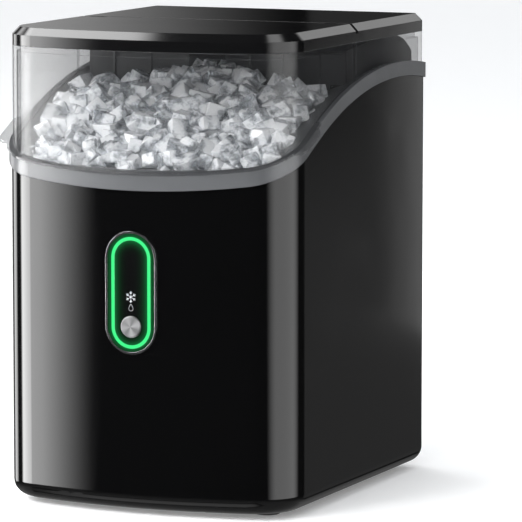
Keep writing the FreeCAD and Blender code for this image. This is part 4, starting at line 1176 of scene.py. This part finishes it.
    def bed(self, material: bpy.types.Material) -> None:
        """Make a bed of ice below the loose nuggets, inside the basket, coloured dark grey as painted shade in the
        gaps.

        Args:
            material: the bed's dark grey finish, painted shade for the gaps between the nuggets.
        """
        low = Vector((self.basket_low.x + self.bed_side, self.basket_low.y + self.bed_front, 0.0))
        high = Vector((self.basket_high.x - self.bed_side, self.basket_high.y - self.bed_back, 0.0))
        floor = self.basket_high.z - self.bed_deep
        columns, rows = self.bed_grid
        mesh = bmesh.new()
        grid = []
        for row in range(rows + 1):
            line = []
            for column in range(columns + 1):
                across = low.x + (high.x - low.x) * column / columns
                back = low.y + (high.y - low.y) * row / rows
                spot = Vector((across * self.bed_grain, back * self.bed_grain, self.bed_slice))
                rough = noise.noise(spot) * self.bed_rough
                line.append(mesh.verts.new((across, back, self.surface(across, back)
                                            - self.bed_drop + rough)))
            grid.append(line)
        for row in range(rows):
            for column in range(columns):
                mesh.faces.new((grid[row][column], grid[row][column + 1],
                                grid[row + 1][column + 1], grid[row + 1][column]))
        border = (grid[0] + [line[-1] for line in grid[1:]] + grid[-1][-2::-1]
                  + [line[0] for line in grid[-2:0:-1]])
        foot = [mesh.verts.new((vert.co.x * self.bed_foot[0], vert.co.y * self.bed_foot[1], floor))
                for vert in border]
        for index in range(len(border)):
            following = (index + 1) % len(border)
            mesh.faces.new((border[following], border[index], foot[index], foot[following]))
        mesh.faces.new(foot)
        bmesh.ops.recalc_face_normals(mesh, faces=mesh.faces)
        data = bpy.data.meshes.new("ice_bed")
        mesh.to_mesh(data)
        mesh.free()
        smooth(data)
        new_piece("ice_bed", data, Body.BASKET, material)

    def build(self) -> None:
        """Make the bed, the heap and the nuggets in the mouth."""
        ice = Frost().build("nugget_ice")
        # The bed's dark grey is painted shade for the gaps between the nuggets.
        self.bed(Moulded((0.20, 0.22, 0.24), 0.30, 0.35, 260.0, 0.6,
                         depth=0.001).build("ice_bed_painted_shade"))
        seats = self.heap_seats()
        self.pour("ice_heap", seats, 1.0, Body.BASKET, ice)
        low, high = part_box("ice_chute")
        room = high.x - low.x - 2 * self.mouth_inset
        mouth = []
        for step in range(self.mouth_nuggets):
            row, column = divmod(step, self.mouth_columns)
            across = low.x + self.mouth_inset + room * column / (self.mouth_columns - 1)
            back = low.y + self.mouth_front + self.mouth_row * row + self.rng.uniform(-1, 1) * MM
            rise = self.mouth_low + self.mouth_hop * (step % 2)
            mouth.append(Vector((across, back, low.z + rise)))
        self.pour("ice_in_mouth", mouth, self.mouth_scale, Body.CABINET, ice)
        LOG.info("poured %d nuggets", len(seats) + len(mouth))


# ---------------------------------------------------------------- studio
@dataclass(frozen=True)
class Card:
    """A glowing reflector that only shows as a soft shape in gloss and in ice.

    Its place and half sizes are angles in degrees, as seen from the object's middle.
    """

    name: str
    azimuth: float
    half_wide: float
    elevation: float
    half_tall: float
    radiance: float
    fades: tuple[float, float, float, float] = (0.5, 0.5, 0.2, 0.2)
    reach: float = 4.0

    def glow(self) -> bpy.types.Material:
        """Make the card's light, faded towards its left, right, lower and upper edges.

        Returns:
            The material.
        """
        bench = Bench(self.name)
        bench.tree.nodes.remove(bench.shader)
        parts = bench.add("ShaderNodeSeparateXYZ")
        bench.link(bench.place, parts.inputs[0])
        value: object = self.radiance
        for index, (low, high) in enumerate((self.fades[:2], self.fades[2:])):
            for sign, fade in ((-1.0, low), (1.0, high)):
                ramp = bench.add("ShaderNodeMapRange", clamp=True,
                                 interpolation_type="SMOOTHSTEP")
                bench.link(parts.outputs[index], ramp.inputs["Value"])
                ramp.inputs["From Min"].default_value = sign
                ramp.inputs["From Max"].default_value = sign * (1.0 - 2.0 * fade)
                value = bench.math("MULTIPLY", ramp.outputs["Result"], value)
        light = bench.add("ShaderNodeEmission")
        bench.link(value, light.inputs["Strength"])
        bench.link(light.outputs[0], bench.output.inputs["Surface"])
        return bench.material

    def hang(self, middle: Vector) -> bpy.types.Object:
        """Make the card and turn it to face the object.

        Args:
            middle: the point that it faces.

        Returns:
            The card.
        """
        mesh = bpy.data.meshes.new(self.name)
        mesh.from_pydata([(-1, -1, 0), (1, -1, 0), (1, 1, 0), (-1, 1, 0)], [], [(0, 1, 2, 3)])
        mesh.materials.append(self.glow())
        made = bpy.data.objects.new(self.name, mesh)
        turn, rise = math.radians(self.azimuth), math.radians(self.elevation)
        away = Vector((math.sin(turn) * math.cos(rise), -math.cos(turn) * math.cos(rise),
                       math.sin(rise)))
        side = Vector((math.cos(turn), math.sin(turn), 0.0))
        up = away.cross(side)
        half = (self.reach * math.tan(math.radians(self.half_wide)),
                self.reach * math.tan(math.radians(self.half_tall)))
        axes = Matrix((side * half[0], up * half[1], away)).transposed()
        made.matrix_world = Matrix.Translation(middle + away * self.reach) @ axes.to_4x4()
        for flag in ("camera", "diffuse", "shadow", "volume_scatter"):
            setattr(made, f"visible_{flag}", False)
        bpy.context.scene.collection.objects.link(made)
        return made


@dataclass(frozen=True)
class SoftBox:
    """A soft rectangular light that doesn't show in the gloss."""

    name: str
    spot: tuple[float, float, float]
    size: tuple[float, float]
    power: float
    aim: tuple[float, float, float] | None = None

    def hang(self, middle: Vector) -> None:
        """Hang the light.

        Args:
            middle: the point that it faces when it has no aim of its own.
        """
        lamp = bpy.data.lights.new(self.name, "AREA")
        lamp.shape = "RECTANGLE"
        lamp.size, lamp.size_y = self.size
        lamp.energy = self.power
        made = bpy.data.objects.new(self.name, lamp)
        made.location = self.spot
        aim = middle if self.aim is None else Vector(self.aim)
        made.rotation_euler = (aim - Vector(self.spot)).to_track_quat("-Z", "Y").to_euler()
        made.visible_glossy = False
        bpy.context.scene.collection.objects.link(made)


@dataclass
class Studio:
    """Floor, lights, reflector cards, world and camera."""

    azimuth: float = 0.411792
    elevation: float = 0.124109
    lens: float = 297.6
    spot: Vector = field(default_factory=lambda: Vector((1.30787, -2.90512, 0.56607)))
    cards: tuple[Card, ...] = (
        Card("strip_left", -60.0, 28.0, 12.0, 29.0, 14.0, (0.16, 0.66, 0.05, 0.3)),
        Card("corner_left", -112.0, 13.0, 12.0, 29.0, 3.0, (0.3, 0.3, 0.05, 0.2)),
        Card("edge_left", -140.0, 8.0, 10.0, 26.0, 1.0, (0.3, 0.3, 0.05, 0.2)),
        Card("bar_right", 88.0, 46.0, 16.0, 33.0, 2.9, (0.32, 0.32, 0.05, 0.1)),
        Card("side_back", 159.9, 3.4, -6.0, 12.0, 1.3, (0.38, 0.1, 0.2, 0.2)),
        Card("side_base", 157.0, 12.0, -12.0, 12.0, 0.14, (0.3, 0.3, 0.2, 0.3)),
        Card("lid_left", -149.5, 8.5, 9.0, 9.0, 0.80, (0.72, 0.1, 0.2, 0.4)),
        Card("bevel_front", -80.0, 30.0, 55.2, 14.0, 11.0, (0.2, 0.2, 0.2, 0.16)),
        Card("bevel_corner", 104.0, 30.0, 68.0, 9.0, 3.6, (0.3, 0.3, 0.3, 0.3)),
        Card("bevel_right", 176.0, 12.0, 24.0, 9.0, 1.3, (0.3, 0.3, 0.3, 0.3)),
        Card("bench_front", -20.0, 40.0, -52.0, 16.0, 0.9, (0.3, 0.3, 0.3, 0.3)),
    )
    boxes: tuple[SoftBox, ...] = (
        SoftBox("key_left", (-1.9, -1.5, 1.3), (1.0, 1.6), 46),
        SoftBox("front_fill", (0.2, -2.6, 0.9), (1.2, 1.0), 30),
        SoftBox("top_light", (-0.3, -0.3, 2.1), (1.4, 1.2), 12),
        SoftBox("bin_light", (-0.35, -1.15, 0.95), (0.35, 0.35), 9, aim=(0.0, -0.05, 0.29)),
        SoftBox("back_left", (-1.6, 1.4, 1.0), (0.9, 1.4), 14),
    )
    white: tuple[float, float, float, float] = (1.0, 1.0, 1.0, 1.0)
    room_tint: tuple[float, float, float, float] = (0.96, 0.98, 1.0, 1.0)
    room_fade: tuple[float, float, float, float] = (-1.0, 1.0, 1.25, 0.50)
    gloss_fade: tuple[float, float, float, float] = (-0.50, -0.26, 0.30, 0.03)
    floor_reach: float = 16.0
    floor_white: Colour = (0.90, 0.90, 0.905)
    floor_lift: float = 0.20

    def world(self) -> None:
        """Make a white sky that mirrors in the gloss as a dark room.

        Each fade runs from a start to a stop along one axis, with the strength at either.
        """
        world = bpy.data.worlds.new("studio")
        bpy.context.scene.world = world
        world.use_nodes = True
        nodes, links = world.node_tree.nodes, world.node_tree.links
        nodes.clear()
        skies = []
        for colour in (self.room_tint, self.white, self.white):
            sky = nodes.new("ShaderNodeBackground")
            sky.inputs["Color"].default_value = colour
            sky.inputs["Strength"].default_value = 1.0
            skies.append(sky.outputs[0])
        parts = nodes.new("ShaderNodeSeparateXYZ")
        links.new(nodes.new("ShaderNodeTexCoord").outputs["Generated"], parts.inputs[0])
        for axis, sky, fade in ((0, skies[0], self.room_fade), (2, skies[1], self.gloss_fade)):
            lean = nodes.new("ShaderNodeMapRange")
            for key, value in zip(("From Min", "From Max", "To Min", "To Max"), fade):
                lean.inputs[key].default_value = value
            links.new(parts.outputs[axis], lean.inputs["Value"])
            links.new(lean.outputs["Result"], sky.node.inputs["Strength"])
        path = nodes.new("ShaderNodeLightPath")
        mixed = skies[0]
        for ray, sky in (("Is Glossy Ray", skies[1]), ("Is Camera Ray", skies[2])):
            mix = nodes.new("ShaderNodeMixShader")
            links.new(path.outputs[ray], mix.inputs[0])
            links.new(mixed, mix.inputs[1])
            links.new(sky, mix.inputs[2])
            mixed = mix.outputs[0]
        links.new(mixed, nodes.new("ShaderNodeOutputWorld").inputs["Surface"])

    def floor(self) -> None:
        """Lay a plain white floor that the gloss doesn't mirror."""
        mesh = bpy.data.meshes.new("floor")
        reach = self.floor_reach
        mesh.from_pydata([(-reach, -reach, 0), (reach, -reach, 0), (reach, reach, 0),
                          (-reach, reach, 0)], [], [(0, 1, 2, 3)])
        floor = bpy.data.objects.new("floor", mesh)
        bpy.context.scene.collection.objects.link(floor)
        bench = Bench("floor_paint")
        rough = bench.spread(bench.cloud(40.0), 0.55, 0.7)
        bench.set(Base_Color=self.floor_white, Roughness=rough, Specular_IOR_Level=0.1,
                  Emission_Color=self.white, Emission_Strength=self.floor_lift)
        mesh.materials.append(bench.material)
        floor.visible_glossy = False
        floor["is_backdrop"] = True

    def lights(self) -> None:
        """Hang the soft boxes and the reflector cards round the object."""
        low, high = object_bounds()
        middle = (low + high) / 2
        for box in self.boxes:
            box.hang(middle)
        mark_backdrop(*[card.hang(middle) for card in self.cards])

    def camera(self) -> None:
        """Set the camera where the object is seen from."""
        data = bpy.data.cameras.new("camera")
        data.lens = self.lens
        data.sensor_width = 36.0
        data.clip_end = 60.0
        made = bpy.data.objects.new("camera", data)
        flat = math.cos(self.elevation)
        forward = Vector((-math.sin(self.azimuth) * flat, math.cos(self.azimuth) * flat,
                          -math.sin(self.elevation)))
        made.location = self.spot
        made.rotation_euler = forward.to_track_quat("-Z", "Y").to_euler()
        bpy.context.scene.collection.objects.link(made)
        bpy.context.scene.camera = made

    def build(self) -> None:
        """Set up the whole studio."""
        bpy.context.scene.view_settings.view_transform = "Standard"
        self.camera()
        self.world()
        self.floor()
        self.lights()
        LOG.info("studio ready")


def main() -> None:
    """Build every sub-assembly in order."""
    logging.basicConfig(level=logging.INFO, format="%(name)s: %(message)s")
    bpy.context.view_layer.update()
    workshop = Workshop()
    workshop.stock()
    workshop.dress_frame()
    PanelMarks().build()
    IceHeap().build()
    Studio().build()


if __name__ == "__main__":
    main()
